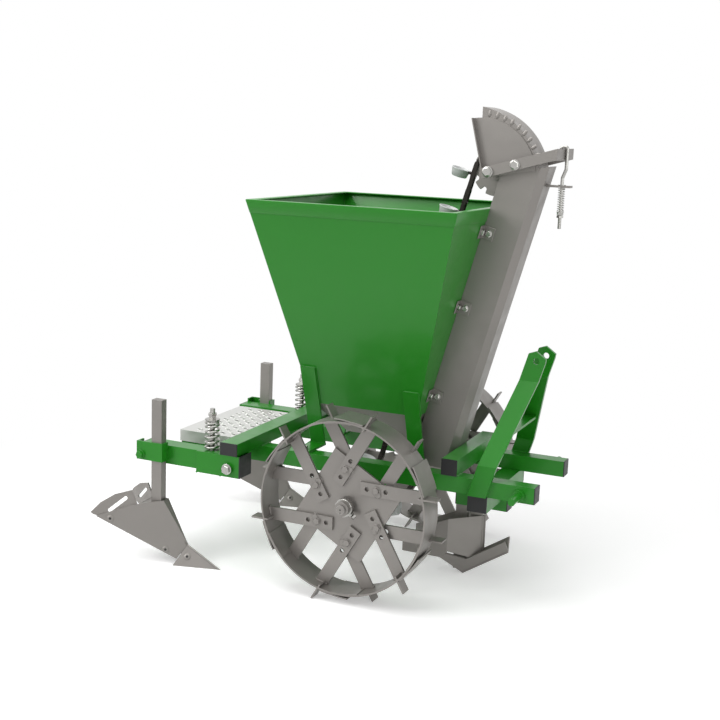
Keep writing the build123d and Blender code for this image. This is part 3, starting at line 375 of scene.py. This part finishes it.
class PlanterSizes(bpy.types.PropertyGroup):
    hem: FloatProperty(name="Hopper hem", description="Depth of the fold round the hopper's top, in mm",
                       default=40.0, min=10.0, max=80.0)
    bead: FloatProperty(name="Weld bead", description="Radius of the weld beads, in mm",
                        default=2.6, min=1.0, max=6.0)
    spring_coils: IntProperty(name="Spring coils", description="Coils of each hiller spring",
                              default=6, min=3, max=12)
    spoke_bolt: FloatProperty(name="Spoke bolt", description="Shank size of the spoke bolts, in mm",
                              default=12.0, min=8.0, max=16.0)
    backdrop: FloatVectorProperty(name="Backdrop", description="Colour of the studio floor", subtype="COLOR",
                                  size=3, min=0, max=1, default=linear("F2F2F2"))


GREEN_NODES = ("beam_", "front_cross", "middle_cross", "rear_cross", "opener_carrier", "mast_", "hopper",
               "axle_bearings", "hiller_arm", "hiller_bracket", "hiller_clamp", "lower_link_pins")
ZINC_NODES = ("hiller_springs", "hiller_bolts", "hook_bolt", "hook_spring")
OWN_FINISH = {"step_plate": "galvanised_sheet", "axle": "turned_steel", "elevator_chain": "oiled_chain_steel",
              "elevator_cups": "moulded_cup_plastic", "end_caps": "black_cap_plastic"}


class PLANTER_OT_finishes(bpy.types.Operator):
    """Make the finishes and put one on every solid of the machine."""

    bl_idname = "planter.finishes"
    bl_label = "Finishes"

    def execute(self, context):
        tint = context.scene.planter_finishes
        # Powder coat on steel: even, glossy, with a slight orange peel that softens reflections
        finish_material("green_powder_coat", tint.green, metallic=0.0, roughness=0.34, grain_mm=60, tone=0.05,
                        rough_swing=0.05, bump=0.10, bump_mm=2.2, coat=0.18, coat_roughness=0.12, edge_mm=1.4)
        # Silver-grey enamel over hot rolled sheet: a soft metallic sheen with cloudy patches
        finish_material("silver_enamel", tint.steel, metallic=0.55, roughness=0.42, grain_mm=45, tone=0.09,
                        rough_swing=0.08, bump=0.15, bump_mm=1.6, edge_mm=1.0)
        # Bright zinc plating: hard small highlights with a faint mottle
        finish_material("bright_zinc", tint.zinc, metallic=1.0, roughness=0.26, grain_mm=12, tone=0.10,
                        rough_swing=0.08, bump=0.08, bump_mm=0.8)
        # Galvanised sheet: very pale, with a broad and nearly even sheen
        finish_material("galvanised_sheet", linear("D4D4D1"), metallic=0.75, roughness=0.38, grain_mm=30,
                        tone=0.04, rough_swing=0.06, bump=0.03, bump_mm=1.2, edge_mm=0.8)
        # Turned shaft steel: fine rings round the shaft's axis
        finish_material("turned_steel", linear("A8A7A4"), metallic=1.0, roughness=0.28, grain_mm=3, tone=0.06,
                        rough_swing=0.08, stretch=(1, 8, 1))
        # Oiled chain steel: nearly black with a wet gleam
        finish_material("oiled_chain_steel", tint.chain, metallic=0.8, roughness=0.36, grain_mm=8, tone=0.25,
                        rough_swing=0.12)
        # Moulded polypropylene: pale, even and slightly waxy
        finish_material("moulded_cup_plastic", tint.cups, metallic=0.0, roughness=0.42, grain_mm=40, tone=0.03,
                        rough_swing=0.04)
        # Moulded polyethylene end caps: dull black
        finish_material("black_cap_plastic", tint.plastic, metallic=0.0, roughness=0.5, grain_mm=20, tone=0.10,
                        rough_swing=0.06, bump=0.1, bump_mm=1.0)
        # Painted shade: bare punched edges and holes, bolt sockets and centre holes, in a dark grey that
        # stands in for the shadow inside them
        finish_material("punched_shadow", linear("2A2A29"), metallic=0.3, roughness=0.6, grain_mm=10, tone=0.1,
                        rough_swing=0.05)
        for name, obj in NODES.items():
            if name.startswith(GREEN_NODES):
                chosen = "green_powder_coat"
            elif name.startswith(ZINC_NODES):
                chosen = "bright_zinc"
            else:
                chosen = OWN_FINISH.get(name, "silver_enamel")
            obj.data.materials.clear()
            obj.data.materials.append(bpy.data.materials[chosen])
        return {"FINISHED"}


def hopper_loop(z, offset, corner=5.0, steps=5):
    """The hopper's outline at a height, grown outward by an offset, with its corners rounded."""
    drop = HOPPER_TOP - z
    front = AXLE_AHEAD + HOPPER_FRONT_AHEAD - FRONT_SLOPE * drop + offset
    rear = AXLE_AHEAD + HOPPER_REAR_AHEAD + REAR_SLOPE * drop - offset
    half = HOPPER_TOP_HALF - SIDE_SLOPE * drop + offset
    a = np.linspace(0, np.pi / 2, steps)
    arcs = [((front - corner, half - corner), 0), ((rear + corner, half - corner), 1),
            ((rear + corner, -half + corner), 2), ((front - corner, -half + corner), 3)]
    rounds = []
    for (x, y), quarter in arcs:
        b = a + quarter * np.pi / 2
        rounds.append(np.stack([x + corner * np.cos(b), y + corner * np.sin(b), np.full(steps, z)], -1))
    return np.vstack(rounds)


class PLANTER_OT_hopper_hem(bpy.types.Operator):
    """Fold the hem round the hopper's top: a closed section carried round its rounded outline."""

    bl_idname = "planter.hopper_hem"
    bl_label = "Hopper hem"

    def execute(self, context):
        deep = context.scene.planter_sizes.hem
        top = HOPPER_TOP + 3.4
        # The section's corners, each with its depth under the top and its offset from the wall
        rows = [(deep, 0.4), (deep, 1.8), (deep - 0.8, 2.4), (2.5, 2.4), (0.7, 1.7), (0, 0.2), (0, -21.0),
                (0.8, -22.4), (2.4, -22.4), (3.2, -21.0), (3.2, -2.0), (6, 0.4)]
        loops = np.array([hopper_loop(top - under, offset, 6.0 if offset > -10 else 3.0)
                          for under, offset in rows])
        vertices, faces = grid(loops, wrap_rows=True, wrap_columns=True)
        turned_out = [(vertices, [face[::-1] for face in faces])]
        piece("hopper_hem", turned_out, "green_powder_coat", "frame")
        return {"FINISHED"}


def chain_path():
    """Every pin of the loop with its outward and travel directions: down, round, up and round again."""
    radius = CHAIN_PITCH / (2 * math.sin(math.pi / SPROCKET_TEETH))
    tooth = 360 / SPROCKET_TEETH
    low, high = spot(0, 0, AXLE_Z), spot(UPPER_AHEAD, 0, UPPER_Z)
    s, c = math.sin(ELEVATOR_LEAN), math.cos(ELEVATOR_LEAN)
    run, out = np.array([s, 0, c]), np.array([c, 0, -s])

    def swing(v, degrees):
        cos, sin = math.cos(math.radians(degrees)), math.sin(math.radians(degrees))
        return np.array([v[0] * cos + v[2] * sin, 0, -v[0] * sin + v[2] * cos])

    def turn_round(middle, start):
        angles = [tooth * n for n in range(SPROCKET_TEETH // 2)]
        return [(middle + swing(start, a) * radius, swing(start, a), swing(start, a + 90)) for a in angles]

    places = [(high + out * radius - run * n * CHAIN_PITCH, out, -run) for n in range(RUN_PITCHES)]
    places += turn_round(low, out)
    places += [(low - out * radius + run * n * CHAIN_PITCH, -out, run) for n in range(RUN_PITCHES)]
    return places + turn_round(high, -out)


class PLANTER_OT_elevator_chain(bpy.types.Operator):
    """Build the chain link by link: waisted side plates, rollers and riveted pins."""

    bl_idname = "planter.elevator_chain"
    bl_label = "Elevator chain"

    def execute(self, context):
        places = chain_path()
        parts = []
        a = np.linspace(0, 2 * np.pi, 20, endpoint=False)
        waist = 1 - 0.30 * np.abs(np.sin(a)) ** 3
        plate_half, plate_thick = 9.0, 2.5
        reach = np.sign(np.cos(a)) * CHAIN_PITCH / 2 * np.abs(np.cos(a)) ** 0.35
        shape = np.stack([plate_half * np.sin(a) * waist, plate_half * np.cos(a) + reach], -1)
        for n, (pin, _, _) in enumerate(places):
            after = places[(n + 1) % len(places)][0]
            run = (after - pin) / np.linalg.norm(after - pin)
            square = np.cross(run, (0, 1, 0))
            gap = 5.4 if n % 2 else 8.2
            for side in (-1, 1):
                middle = (pin + after) / 2 + (0, side * (gap + 1.3) - plate_thick / 2, 0)
                parts.append(slab(shape, middle, -square, run, plate_thick, 0.4))
            parts.append(turned([(7.6, -5.2), (8.0, -4.8), (8.0, 4.8), (7.6, 5.2)], pin, (0, 1, 0), 14))
            parts.append(turned([(3.6, -12.4), (4.2, -11.9), (4.2, 11.9), (3.6, 12.4)], pin, (0, 1, 0), 10))
        chain = piece("chain_links", parts, "oiled_chain_steel", "frame", 30)
        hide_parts("elevator_chain")
        return {"FINISHED"}


class PLANTER_OT_seed_cups(bpy.types.Operator):
    """Turn the seed cups: round, tapering, with a thick lip, each on a folded bracket on the chain."""

    bl_idname = "planter.seed_cups"
    bl_label = "Seed cups"

    def execute(self, context):
        parts, brackets = [], []
        # Radius and height from inside the floor, over the lip, to under the floor
        profile = [(0.5, -22.8), (17.5, -22.4), (20.2, -20.5), (27.0, -1.2), (28.4, 0), (29.9, -0.6),
                   (29.8, -2.8), (28.6, -3.2), (23.8, -24.0), (21.6, -25.8), (0.5, -26.0)]
        r, z = np.array(profile, float).T
        a = np.linspace(0, 2 * np.pi, 28, endpoint=False)
        for pin, out, run in chain_path()[::3]:
            centre = pin + run * 13 + out * 45
            u, v, w = axes_of(run, (0, 1, 0))
            points = (centre + z[:, None, None] * w
                      + r[:, None, None] * (np.cos(a)[:, None] * u + np.sin(a)[:, None] * v))
            parts.append(grid(points[::-1], wrap_columns=True, cap_rows=True))
            brackets.append(block(pin + run * 11 + out * 13.5, (13, 17, 3), out, (0, 1, 0), 0.5))
            brackets += bolt(pin + run * 9 + out * 14, -run, 6)
        cups = piece("seed_cups", parts, "moulded_cup_plastic", "frame", 50)
        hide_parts("elevator_cups")
        piece("cup_brackets", brackets, "oiled_chain_steel", "frame")
        return {"FINISHED"}


class PLANTER_OT_springs(bpy.types.Operator):
    """Wind the hiller springs and the small chain spring as helices, with washers and threaded ends."""

    bl_idname = "planter.springs"
    bl_label = "Springs"

    def execute(self, context):
        coils = context.scene.planter_sizes.spring_coils
        big, small = [], []
        for sign in SIDES:
            foot = spot(SPRING_AHEAD, sign * ARM_Y, 0)
            big.append(helix(foot, SPRING_LOW, SPRING_HIGH, 25.0, 8.0, coils))
            cap = [(20, 0), (24, 0.4), (24, 2.6), (20, 3)]
            small.append(turned(cap, foot + (0, 0, SPRING_HIGH + 0.8), UP, 32))
            small.append(hexagon_head(foot + (0, 0, SPRING_HIGH + 15.9), UP, 25, 9, 0.4))
            small.append(thread(foot + (0, 0, SPRING_HIGH + 14.4), UP, 16.4, 22.5))
        springs = piece("hiller_helices", big, "bright_zinc", "frame", 60)
        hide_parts("hiller_springs")
        foot = spot(HOOK_AHEAD, 0, 0)
        coil = helix(foot, 1171.6, 1241.0, 10.5, 2.6, 11, 6, 20)
        wire = piece("hook_helix", [coil], "bright_zinc", "frame", 60)
        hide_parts("hook_spring")
        small.append(thread(foot + (0, 0, 1120.5), UP, 10.6, 40))
        small.append(hexagon_head(foot + (0, 0, 1153), UP, 17.5, 8))
        washer = [(9, 0), (11.5, 0.3), (11.5, 1.7), (9, 2)]
        for low in (1169.2, 1248.2):
            small.append(turned(washer, foot + (0, 0, low), UP, 24))
        piece("spring_fittings", small, "bright_zinc", "frame")
        return {"FINISHED"}


class PLANTER_OT_wheel_fasteners(bpy.types.Operator):
    """Bolt the spokes to the hub plates and fit the hub collars with their set bolts."""

    bl_idname = "planter.wheel_fasteners"
    bl_label = "Wheel fasteners"

    def execute(self, context):
        size = context.scene.planter_sizes.spoke_bolt
        silver, bright, dark = [], [], []
        for sign in SIDES:
            for n in range(6):
                a = math.radians(60 * n)
                for face in (-1, 1):
                    x = SPOKE_BOLT_OUT * math.cos(a) - face * SPOKE_OFFSET * math.sin(a)
                    y = SPOKE_BOLT_OUT * math.sin(a) + face * SPOKE_OFFSET * math.cos(a)
                    for part in bolt((x, y, face * 12), (0, 0, face), size, 0.6, n * 0.37):
                        silver.append(moved_to_wheel(sign, part))
                    for part in bolt((x, y, -face * 4), (0, 0, -face), size, 0.75, n * 0.21):
                        silver.append(moved_to_wheel(sign, part))
            ring = [(22.7, 14), (27.5, 14.6), (28, 15.4), (28, 35), (27, 36), (22.7, 36)]
            d = np.array([math.cos(math.radians(-38)), math.sin(math.radians(-38)), 0])
            stem = d * 26 + (0, 0, 25)
            square_head = [(8.2, 0), (8.8, 0.6), (8.8, 7), (7.4, 8)]
            for part in (turned(ring, (0, 0, 0), UP, 40), thread(stem, d, 10, 9),
                         turned(square_head, stem + d * 10, d, 4), hexagon_head(stem + d * 2.5, d, 16, 5)):
                bright.append(moved_to_wheel(sign, part))
            face = [(12.6, 53.2), (13.2, 53.8), (13.2, 54.4), (12.2, 54.9)]
            silver.append(moved_to_wheel(sign, turned(face, (0, 0, 0), UP, 32)))
            # Dark discs in the shaft's centre holes: painted shade inside the holes
            for radius, low, around in ((2.4, 0, 14), (1.6, -9, 10)):
                centre = turned([(radius, 54.3), (radius, 55.1)], (0, low, 0), UP, around)
                dark.append(moved_to_wheel(sign, centre))
        piece("spoke_bolts", silver, "silver_enamel", "drive")
        piece("hub_collars", bright, "bright_zinc", "drive")
        piece("shaft_centres", dark, "punched_shadow", "drive")
        return {"FINISHED"}


class PLANTER_OT_rim_joints(bpy.types.Operator):
    """Lap the six rim segments: each ends on a strip that stands off outside the next, with a seam inside."""

    bl_idname = "planter.rim_joints"
    bl_label = "Rim joints"

    def execute(self, context):
        parts, welds = [], []
        width = RIM_WIDTH - 1
        for sign in SIDES:
            for n in range(6):
                a = np.linspace(17, 36.5, 14)
                lift = np.interp(a, [17, 26, 36.5], [0.3, 0.6, 6.0])
                outer = curved_strip(RIM_RADIUS + lift, np.radians(60 * n + a), width, (0.1, 4.0))
                seam = np.radians(60 * n + np.linspace(25.5, 44, 12))
                inner = curved_strip(np.array([RIM_RADIUS - RIM_THICK]), seam, width, (-2.2, -0.1))
                parts += [moved_to_wheel(sign, outer), moved_to_wheel(sign, inner)]
                for face in (-1, 1):
                    # Beads where each spoke meets the rim, and where each lug stands on it
                    base = math.radians(60 * n) + face * math.asin(SPOKE_OFFSET / (RIM_RADIUS - RIM_THICK))
                    for shift in (-21, 21):
                        b = base + shift / 262
                        place = np.array([257 * math.cos(b), 257 * math.sin(b), 0])
                        bead = weld(place + (0, 0, face * 4), place + (0, 0, face * 12), 2.6, (1, 0.3, 0))
                        welds.append(moved_to_wheel(sign, bead))
                    along = np.array([-math.sin(base), math.cos(base), 0])
                    place = np.array([258.4 * math.cos(base), 258.4 * math.sin(base), face * 12.6])
                    welds.append(moved_to_wheel(sign, weld(place - along * 19, place + along * 19, 2.6)))
        piece("rim_laps", parts, "silver_enamel", "drive", 25)
        piece("wheel_welds", welds, "silver_enamel", "drive", 80)
        return {"FINISHED"}


class PLANTER_OT_frame_fasteners(bpy.types.Operator):
    """Fit the clips that hold the fall tube to the hopper, and the bolts of arms, clamps and bearings."""

    bl_idname = "planter.frame_fasteners"
    bl_label = "Frame fasteners"

    def execute(self, context):
        clips, bright, green = [], [], []
        lean = math.atan(FRONT_SLOPE)
        up = np.array([math.sin(lean), 0, math.cos(lean)])
        out = np.array([math.cos(lean), 0, -math.sin(lean)])
        for sign in SIDES:
            cross = np.array([0, sign, 0], float)
            for z in CLIP_HEIGHTS:
                foot = spot(HOPPER_LOW_FRONT + FRONT_SLOPE * (z - HOPPER_BOTTOM), 0, z)
                flat = foot + cross * 58.4 + out * 19
                clips.append(block(flat + cross * 2, (38, 40, 4), out, up if sign > 0 else -up, 1.0))
                wing = foot + cross * 76 + out * 2.6
                clips.append(block(wing, (36, 40, 4), cross, up if sign < 0 else -up, 1.0))
                bright += bolt(flat + cross * 4 + out * 3, cross, 10, 0.7, 0.2 + z)
                bright += bolt(wing + out * 2 + cross * 4, out, 10, 0.7, 0.5 + z)
            pivot = spot(ARM_PIVOT_AHEAD, 0, ARM_PIVOT_Z)
            for face in (-1, 1):
                bright += bolt(pivot + (0, sign * ARM_Y + face * 46.2, 0), (0, face, 0), 16, 0.6, 0.7)
            green += bolt(spot(CLAMP_AHEAD, sign * (ARM_Y + 65), CLAMP_BOLT_Z), (0, sign, 0), 14, 0.8, 0.2)
            for ahead in (-32, 32):
                bright += bolt(spot(ahead, sign * BEAM_Y, BEAM_BOTTOM - 12.4), (0, 0, -1), 12, 0.8, 0.1)
            for leg, _ in HOPPER_LEGS:
                bright += bolt(spot(leg, sign * 178, BEAM_TOP + 8.2), UP, 12, 0.7, leg)
        piece("tube_clips", clips, "silver_enamel", "frame")
        piece("frame_bolts", bright, "bright_zinc", "frame")
        piece("clamp_bolts", green, "green_powder_coat", "frame")
        return {"FINISHED"}


class PLANTER_OT_head_details(bpy.types.Operator):
    """Fit the head's lever bolts and its row of pressed tabs, half ellipsoids on an arc round the sector."""

    bl_idname = "planter.head_details"
    bl_label = "Head details"

    def execute(self, context):
        tabs, bright = [], []
        apex = spot(UPPER_AHEAD - 35, 0, UPPER_Z - 14)
        ring, face_y = 183, -58.0
        long, wide, high = 10.5, 5.6, 2.6
        p = np.linspace(0.001, np.pi / 2, 6)
        q = np.linspace(0, 2 * np.pi, 18, endpoint=False)
        for angle in np.radians(np.linspace(14, 84, 10)):
            d = np.array([math.cos(angle), 0, math.sin(angle)])
            t = np.array([-math.sin(angle), 0, math.cos(angle)])
            centre = apex + d * ring + (0, face_y, 0)
            dome = (centre + long * (np.sin(p)[:, None] * np.cos(q))[..., None] * d
                    + wide * (np.sin(p)[:, None] * np.sin(q))[..., None] * t
                    + high * np.cos(p)[:, None, None] * np.array([0, -1.0, 0]))
            tabs.append(grid(dome[:, ::-1], wrap_columns=True, cap_rows=True))
        for sign in SIDES:
            bright += bolt(spot(UPPER_AHEAD, sign * 97.2, UPPER_Z), (0, sign, 0), 15, 0.6, 0.2)
            bright += bolt(spot(364, sign * 95.2, 1303.5), (0, sign, 0), 14, 0.6, 0.6)
        piece("head_tabs", tabs, "silver_enamel", "frame", 60)
        piece("head_bolts", bright, "bright_zinc", "frame")
        return {"FINISHED"}


class PLANTER_OT_blade_details(bpy.types.Operator):
    """Set the round-headed plough bolts in the hiller blades and shares: low domes with a socket."""

    bl_idname = "planter.blade_details"
    bl_label = "Blade details"

    def execute(self, context):
        heads, sockets = [], []
        # Corners of the wing's plane and of the share's, as ahead, out from the leg's middle, up
        wing_face = np.array([(-646, 15, 200), (-562, 0, 64), (-826, 105, 148)], float)
        share_face = np.array([(-440, 0, 0), (-562, 0, 64), (-594, 42, 0)], float)
        for sign in SIDES:
            for wing in (-1, 1):
                flip = np.array([1, wing, 1])
                middle = np.array([AXLE_AHEAD, sign * HILLER_Y, 0])
                for place, (a, b, c) in (((-795.4, 93.0, 137.5), wing_face),
                                         ((-626.2, 32.2, 44.9), wing_face),
                                         ((-554.8, 16.4, 28.7), share_face)):
                    normal = np.cross((b - a) * flip, (c - a) * flip)
                    normal *= np.sign(normal[1] * wing) / np.linalg.norm(normal)
                    on_face = np.array(place) * flip + middle
                    on_face -= normal * ((on_face - middle - a * flip) @ normal) - normal * 0.2
                    heads.append(turned([(10.5, 0), (11, 0.8), (9.6, 2.0), (4.6, 2.6)], on_face, normal, 28))
                    # The socket is a dark ring: painted shade in the recess of the bolt head
                    sockets.append(turned([(4.4, 2.0), (4.4, 2.75)], on_face, normal, 6))
        piece("blade_bolts", heads, "silver_enamel", "frame", 40)
        piece("blade_sockets", sockets, "punched_shadow", "frame")
        return {"FINISHED"}


class PLANTER_OT_step_rings(bpy.types.Operator):
    """Raise the step plate's grip rings, a lip round each hole and between holes, and the punched edges, dark
    walls painted as the shade inside each hole.
    """

    bl_idname = "planter.step_rings"
    bl_label = "Step rings"

    def execute(self, context):
        rings, edges = [], []
        middle = spot(STEP_AHEAD, 0, STEP_TOP)
        q = np.linspace(0, 2 * np.pi, 20, endpoint=False)
        p = np.linspace(0, np.pi, 6)
        for rows, columns, radius in ((HOLE_ROWS, 9, 9.0), (3, 8, 6.0)):
            for i in range(rows):
                for j in range(columns):
                    across = (i - (rows - 1) / 2) * STEP_HOLE_SPACING
                    along = (j - (columns - 1) / 2) * STEP_HOLE_SPACING
                    centre = middle + (across, along, -0.2)
                    ring = radius + 1.7 * np.cos(p)[:, None]
                    points = np.stack([centre[0] + ring * np.cos(q), centre[1] + ring * np.sin(q),
                                       np.broadcast_to(centre[2] + 2.0 * np.sin(p)[:, None], (6, 20))], -1)
                    rings.append(grid(points, wrap_rows=True, wrap_columns=True))
                    if rows == HOLE_ROWS:
                        # The hole's wall in dark grey: painted shade inside the hole
                        circle = np.stack([HOLE_EDGE * np.cos(q), HOLE_EDGE * np.sin(q), 0 * q], -1)
                        edges.append(grid(np.stack([centre + circle - (0, 0, 5), centre + circle]),
                                          wrap_columns=True))
        piece("step_rings", rings, "galvanised_sheet", "frame", 70)
        piece("punched_edges", edges, "punched_shadow", "frame")
        return {"FINISHED"}


class PLANTER_OT_welds(bpy.types.Operator):
    """Lay the weld beads where tubes, bars and legs meet."""

    bl_idname = "planter.welds"
    bl_label = "Weld beads"

    def execute(self, context):
        size = context.scene.planter_sizes.bead
        beads = []

        def line(a, b, hint=(0, 0, 1)):
            beads.append(weld(a, b, size, hint))

        for sign in SIDES:
            inner, outer = sign * (BEAM_Y - TUBE / 2), sign * (BEAM_Y + TUBE / 2)
            for ahead in (222, 272, -454, -394):
                line(spot(ahead, inner, BEAM_TOP), spot(ahead, outer, BEAM_TOP))
            for ahead in (310.5, 371.5):
                line(spot(ahead, inner, BEAM_BOTTOM), spot(ahead, outer, BEAM_BOTTOM))
            mast = MAST_FOOT_AHEAD + MAST_LEAN * TUBE
            line(spot(mast, outer, BEAM_TOP), spot(mast + MAST_WIDE, outer, BEAM_TOP))
            for edge in (0, MAST_WIDE):
                line(spot(MAST_FOOT_AHEAD + edge, outer, BEAM_BOTTOM + 2), spot(mast + edge, outer, BEAM_TOP),
                     (0, 1, 0))
            for leg, top in HOPPER_LEGS:
                wall = HOPPER_LOW_HALF + SIDE_SLOPE * (top - HOPPER_BOTTOM)
                foot = HOPPER_LOW_HALF + SIDE_SLOPE * (BEAM_TOP - HOPPER_BOTTOM)
                for edge in (leg - 25, leg + 25):
                    line(spot(edge, sign * wall, top), spot(edge, sign * HOPPER_LOW_HALF, HOPPER_BOTTOM + 2),
                         (0, 1, 0))
                    line(spot(edge, sign * (foot + 10), BEAM_TOP + 8), spot(edge, sign * 188, BEAM_TOP),
                         (1, 0, 0))
                line(spot(leg - 25, sign * wall, top), spot(leg + 25, sign * wall, top))
            for ahead in BRACKET_ENDS:
                line(spot(ahead, sign * (ARM_Y - 37.5), 306), spot(ahead, sign * (ARM_Y + 37.5), 306))
            for y in (-30, 30):
                line(spot(LEG_AHEAD, sign * ARM_Y + y, 374.7), spot(LEG_AHEAD, sign * ARM_Y + y, 314.7),
                     (1, 0, 0))
        for y in (-TUBE / 2, TUBE / 2):
            line(spot(310.5, y, 275), spot(371.5, y, 275))
        piece("frame_welds", beads, "green_powder_coat", "frame", 80)
        return {"FINISHED"}


def seen_by_eye(tree):
    """One for camera, mirror and glass rays, and zero for the rays that light the scene."""
    rays = add_node(tree, "ShaderNodeLightPath").outputs
    direct = {0: rays["Is Camera Ray"], 1: rays["Is Glossy Ray"]}
    seen = add_node(tree, "ShaderNodeMath", inputs=direct, operation="MAXIMUM").outputs[0]
    through = {0: seen, 1: rays["Is Transmission Ray"]}
    return add_node(tree, "ShaderNodeMath", inputs=through, operation="MAXIMUM").outputs[0]


class PLANTER_OT_studio(bpy.types.Operator):
    """Set the pale floor, the soft lights and the camera at the photograph's angle."""

    bl_idname = "planter.studio"
    bl_label = "Studio"

    def execute(self, context):
        scene = context.scene
        scene.view_settings.view_transform = "Standard"
        pale = scene.planter_sizes.backdrop
        material = bpy.data.materials.new("studio_floor_paper")
        material.use_nodes = True
        tree = material.node_tree
        tree.nodes.clear()
        sheet = add_node(tree, "ShaderNodeBsdfDiffuse", inputs={"Color": (*pale, 1)})
        glow = add_node(tree, "ShaderNodeEmission", inputs={"Color": (1, 1, 1, 1), "Strength": 0.34})
        both = add_node(tree, "ShaderNodeAddShader")
        tree.links.new(sheet.outputs[0], both.inputs[0])
        tree.links.new(glow.outputs[0], both.inputs[1])
        # The paper fades into the white of the studio away from the machine
        place = add_node(tree, "ShaderNodeTexCoord").outputs["Object"]
        reach = add_node(tree, "ShaderNodeVectorMath", inputs={0: place}, operation="LENGTH").outputs["Value"]
        fade = add_node(tree, "ShaderNodeMapRange", inputs={"Value": reach, "From Min": 0.9, "From Max": 1.9},
                        interpolation_type="SMOOTHSTEP").outputs["Result"]
        white = add_node(tree, "ShaderNodeEmission", inputs={"Color": (1, 1, 1, 1), "Strength": 1.0})
        faded = add_node(tree, "ShaderNodeMixShader", inputs={0: fade})
        tree.links.new(both.outputs[0], faded.inputs[1])
        tree.links.new(white.outputs[0], faded.inputs[2])
        choice = add_node(tree, "ShaderNodeMixShader", inputs={0: seen_by_eye(tree)})
        tree.links.new(sheet.outputs[0], choice.inputs[1])
        tree.links.new(faded.outputs[0], choice.inputs[2])
        out = add_node(tree, "ShaderNodeOutputMaterial")
        tree.links.new(choice.outputs[0], out.inputs["Surface"])
        mesh = bpy.data.meshes.new("studio_floor")
        wide = 14.0
        corners = [(-wide, -wide, 0), (wide, -wide, 0), (wide, wide, 0), (-wide, wide, 0)]
        mesh.from_pydata(corners, [], [(0, 1, 2, 3)])
        mesh.materials.append(material)
        floor = bpy.data.objects.new("studio_floor", mesh)
        scene.collection.objects.link(floor)

        world = scene.world or bpy.data.worlds.new("studio")
        scene.world = world
        world.use_nodes = True
        tree = world.node_tree
        tree.nodes.clear()
        soft = add_node(tree, "ShaderNodeBackground", inputs={"Color": (1, 1, 1, 1), "Strength": 0.36})
        white = add_node(tree, "ShaderNodeBackground", inputs={"Color": (1, 1, 1, 1), "Strength": 1.0})
        choice = add_node(tree, "ShaderNodeMixShader", inputs={0: seen_by_eye(tree)})
        tree.links.new(soft.outputs[0], choice.inputs[1])
        tree.links.new(white.outputs[0], choice.inputs[2])
        out = add_node(tree, "ShaderNodeOutputWorld")
        tree.links.new(choice.outputs[0], out.inputs["Surface"])

        # Softboxes: overhead, key from the left and in front, and a low fill from the right
        for name, place, aim, size, power in (
                ("overhead_softbox", (-0.3, -0.4, 3.6), (0, 0, 0.6), 3.0, 82),
                ("key_softbox", (-2.8, -3.2, 2.9), (0, 0, 0.7), 2.0, 90),
                ("fill_softbox", (3.4, -1.6, 1.8), (0.2, 0, 0.6), 1.8, 26)):
            lamp = bpy.data.lights.new(name, "AREA")
            lamp.shape = "SQUARE"
            lamp.size = size
            lamp.energy = power
            obj = bpy.data.objects.new(name, lamp)
            obj.location = place
            obj.rotation_euler = (Vector(aim) - Vector(place)).to_track_quat("-Z", "Y").to_euler()
            scene.collection.objects.link(obj)

        turn, tilt, roll = math.radians(23.57), math.radians(10.9), math.radians(2.2)
        look = Vector((-math.sin(turn) * math.cos(tilt), math.cos(turn) * math.cos(tilt), -math.sin(tilt)))
        level = Vector((math.cos(turn), math.sin(turn), 0))
        up = level.cross(look)
        side = math.cos(roll) * level + math.sin(roll) * up
        top = -math.sin(roll) * level + math.cos(roll) * up
        camera_data = bpy.data.cameras.new("photo_camera")
        camera_data.sensor_width = 36.0
        camera_data.lens = 60.66
        camera = bpy.data.objects.new("photo_camera", camera_data)
        facing = Matrix((side, top, -look)).transposed().to_4x4()
        facing.translation = Vector((1.5705, -3.536, 1.397))
        camera.matrix_world = facing
        scene.collection.objects.link(camera)
        scene.camera = camera
        return {"FINISHED"}


STEPS = (PLANTER_OT_finishes, PLANTER_OT_hopper_hem, PLANTER_OT_elevator_chain, PLANTER_OT_seed_cups,
         PLANTER_OT_springs, PLANTER_OT_wheel_fasteners, PLANTER_OT_rim_joints, PLANTER_OT_frame_fasteners,
         PLANTER_OT_head_details, PLANTER_OT_blade_details, PLANTER_OT_step_rings, PLANTER_OT_welds,
         PLANTER_OT_studio)


class PLANTER_PT_panel(bpy.types.Panel):
    """The planter's sizes, finishes and steps."""

    bl_idname = "PLANTER_PT_panel"
    bl_label = "Potato planter"
    bl_space_type = "VIEW_3D"
    bl_region_type = "UI"
    bl_category = "Planter"

    def draw(self, context):
        for group in (context.scene.planter_sizes, context.scene.planter_finishes):
            for name in group.__annotations__:
                self.layout.prop(group, name)
        for step in STEPS:
            self.layout.operator(step.bl_idname)


CLASSES = (PlanterFinishes, PlanterSizes, *STEPS, PLANTER_PT_panel)


def register():
    for made in CLASSES:
        bpy.utils.register_class(made)
    bpy.types.Scene.planter_finishes = PointerProperty(type=PlanterFinishes)
    bpy.types.Scene.planter_sizes = PointerProperty(type=PlanterSizes)


def unregister():
    del bpy.types.Scene.planter_sizes
    del bpy.types.Scene.planter_finishes
    for made in reversed(CLASSES):
        bpy.utils.unregister_class(made)


def main():
    register()
    for step in STEPS:
        group, name = step.bl_idname.split(".")
        getattr(getattr(bpy.ops, group), name)()


if __name__ == "__main__":
    main()
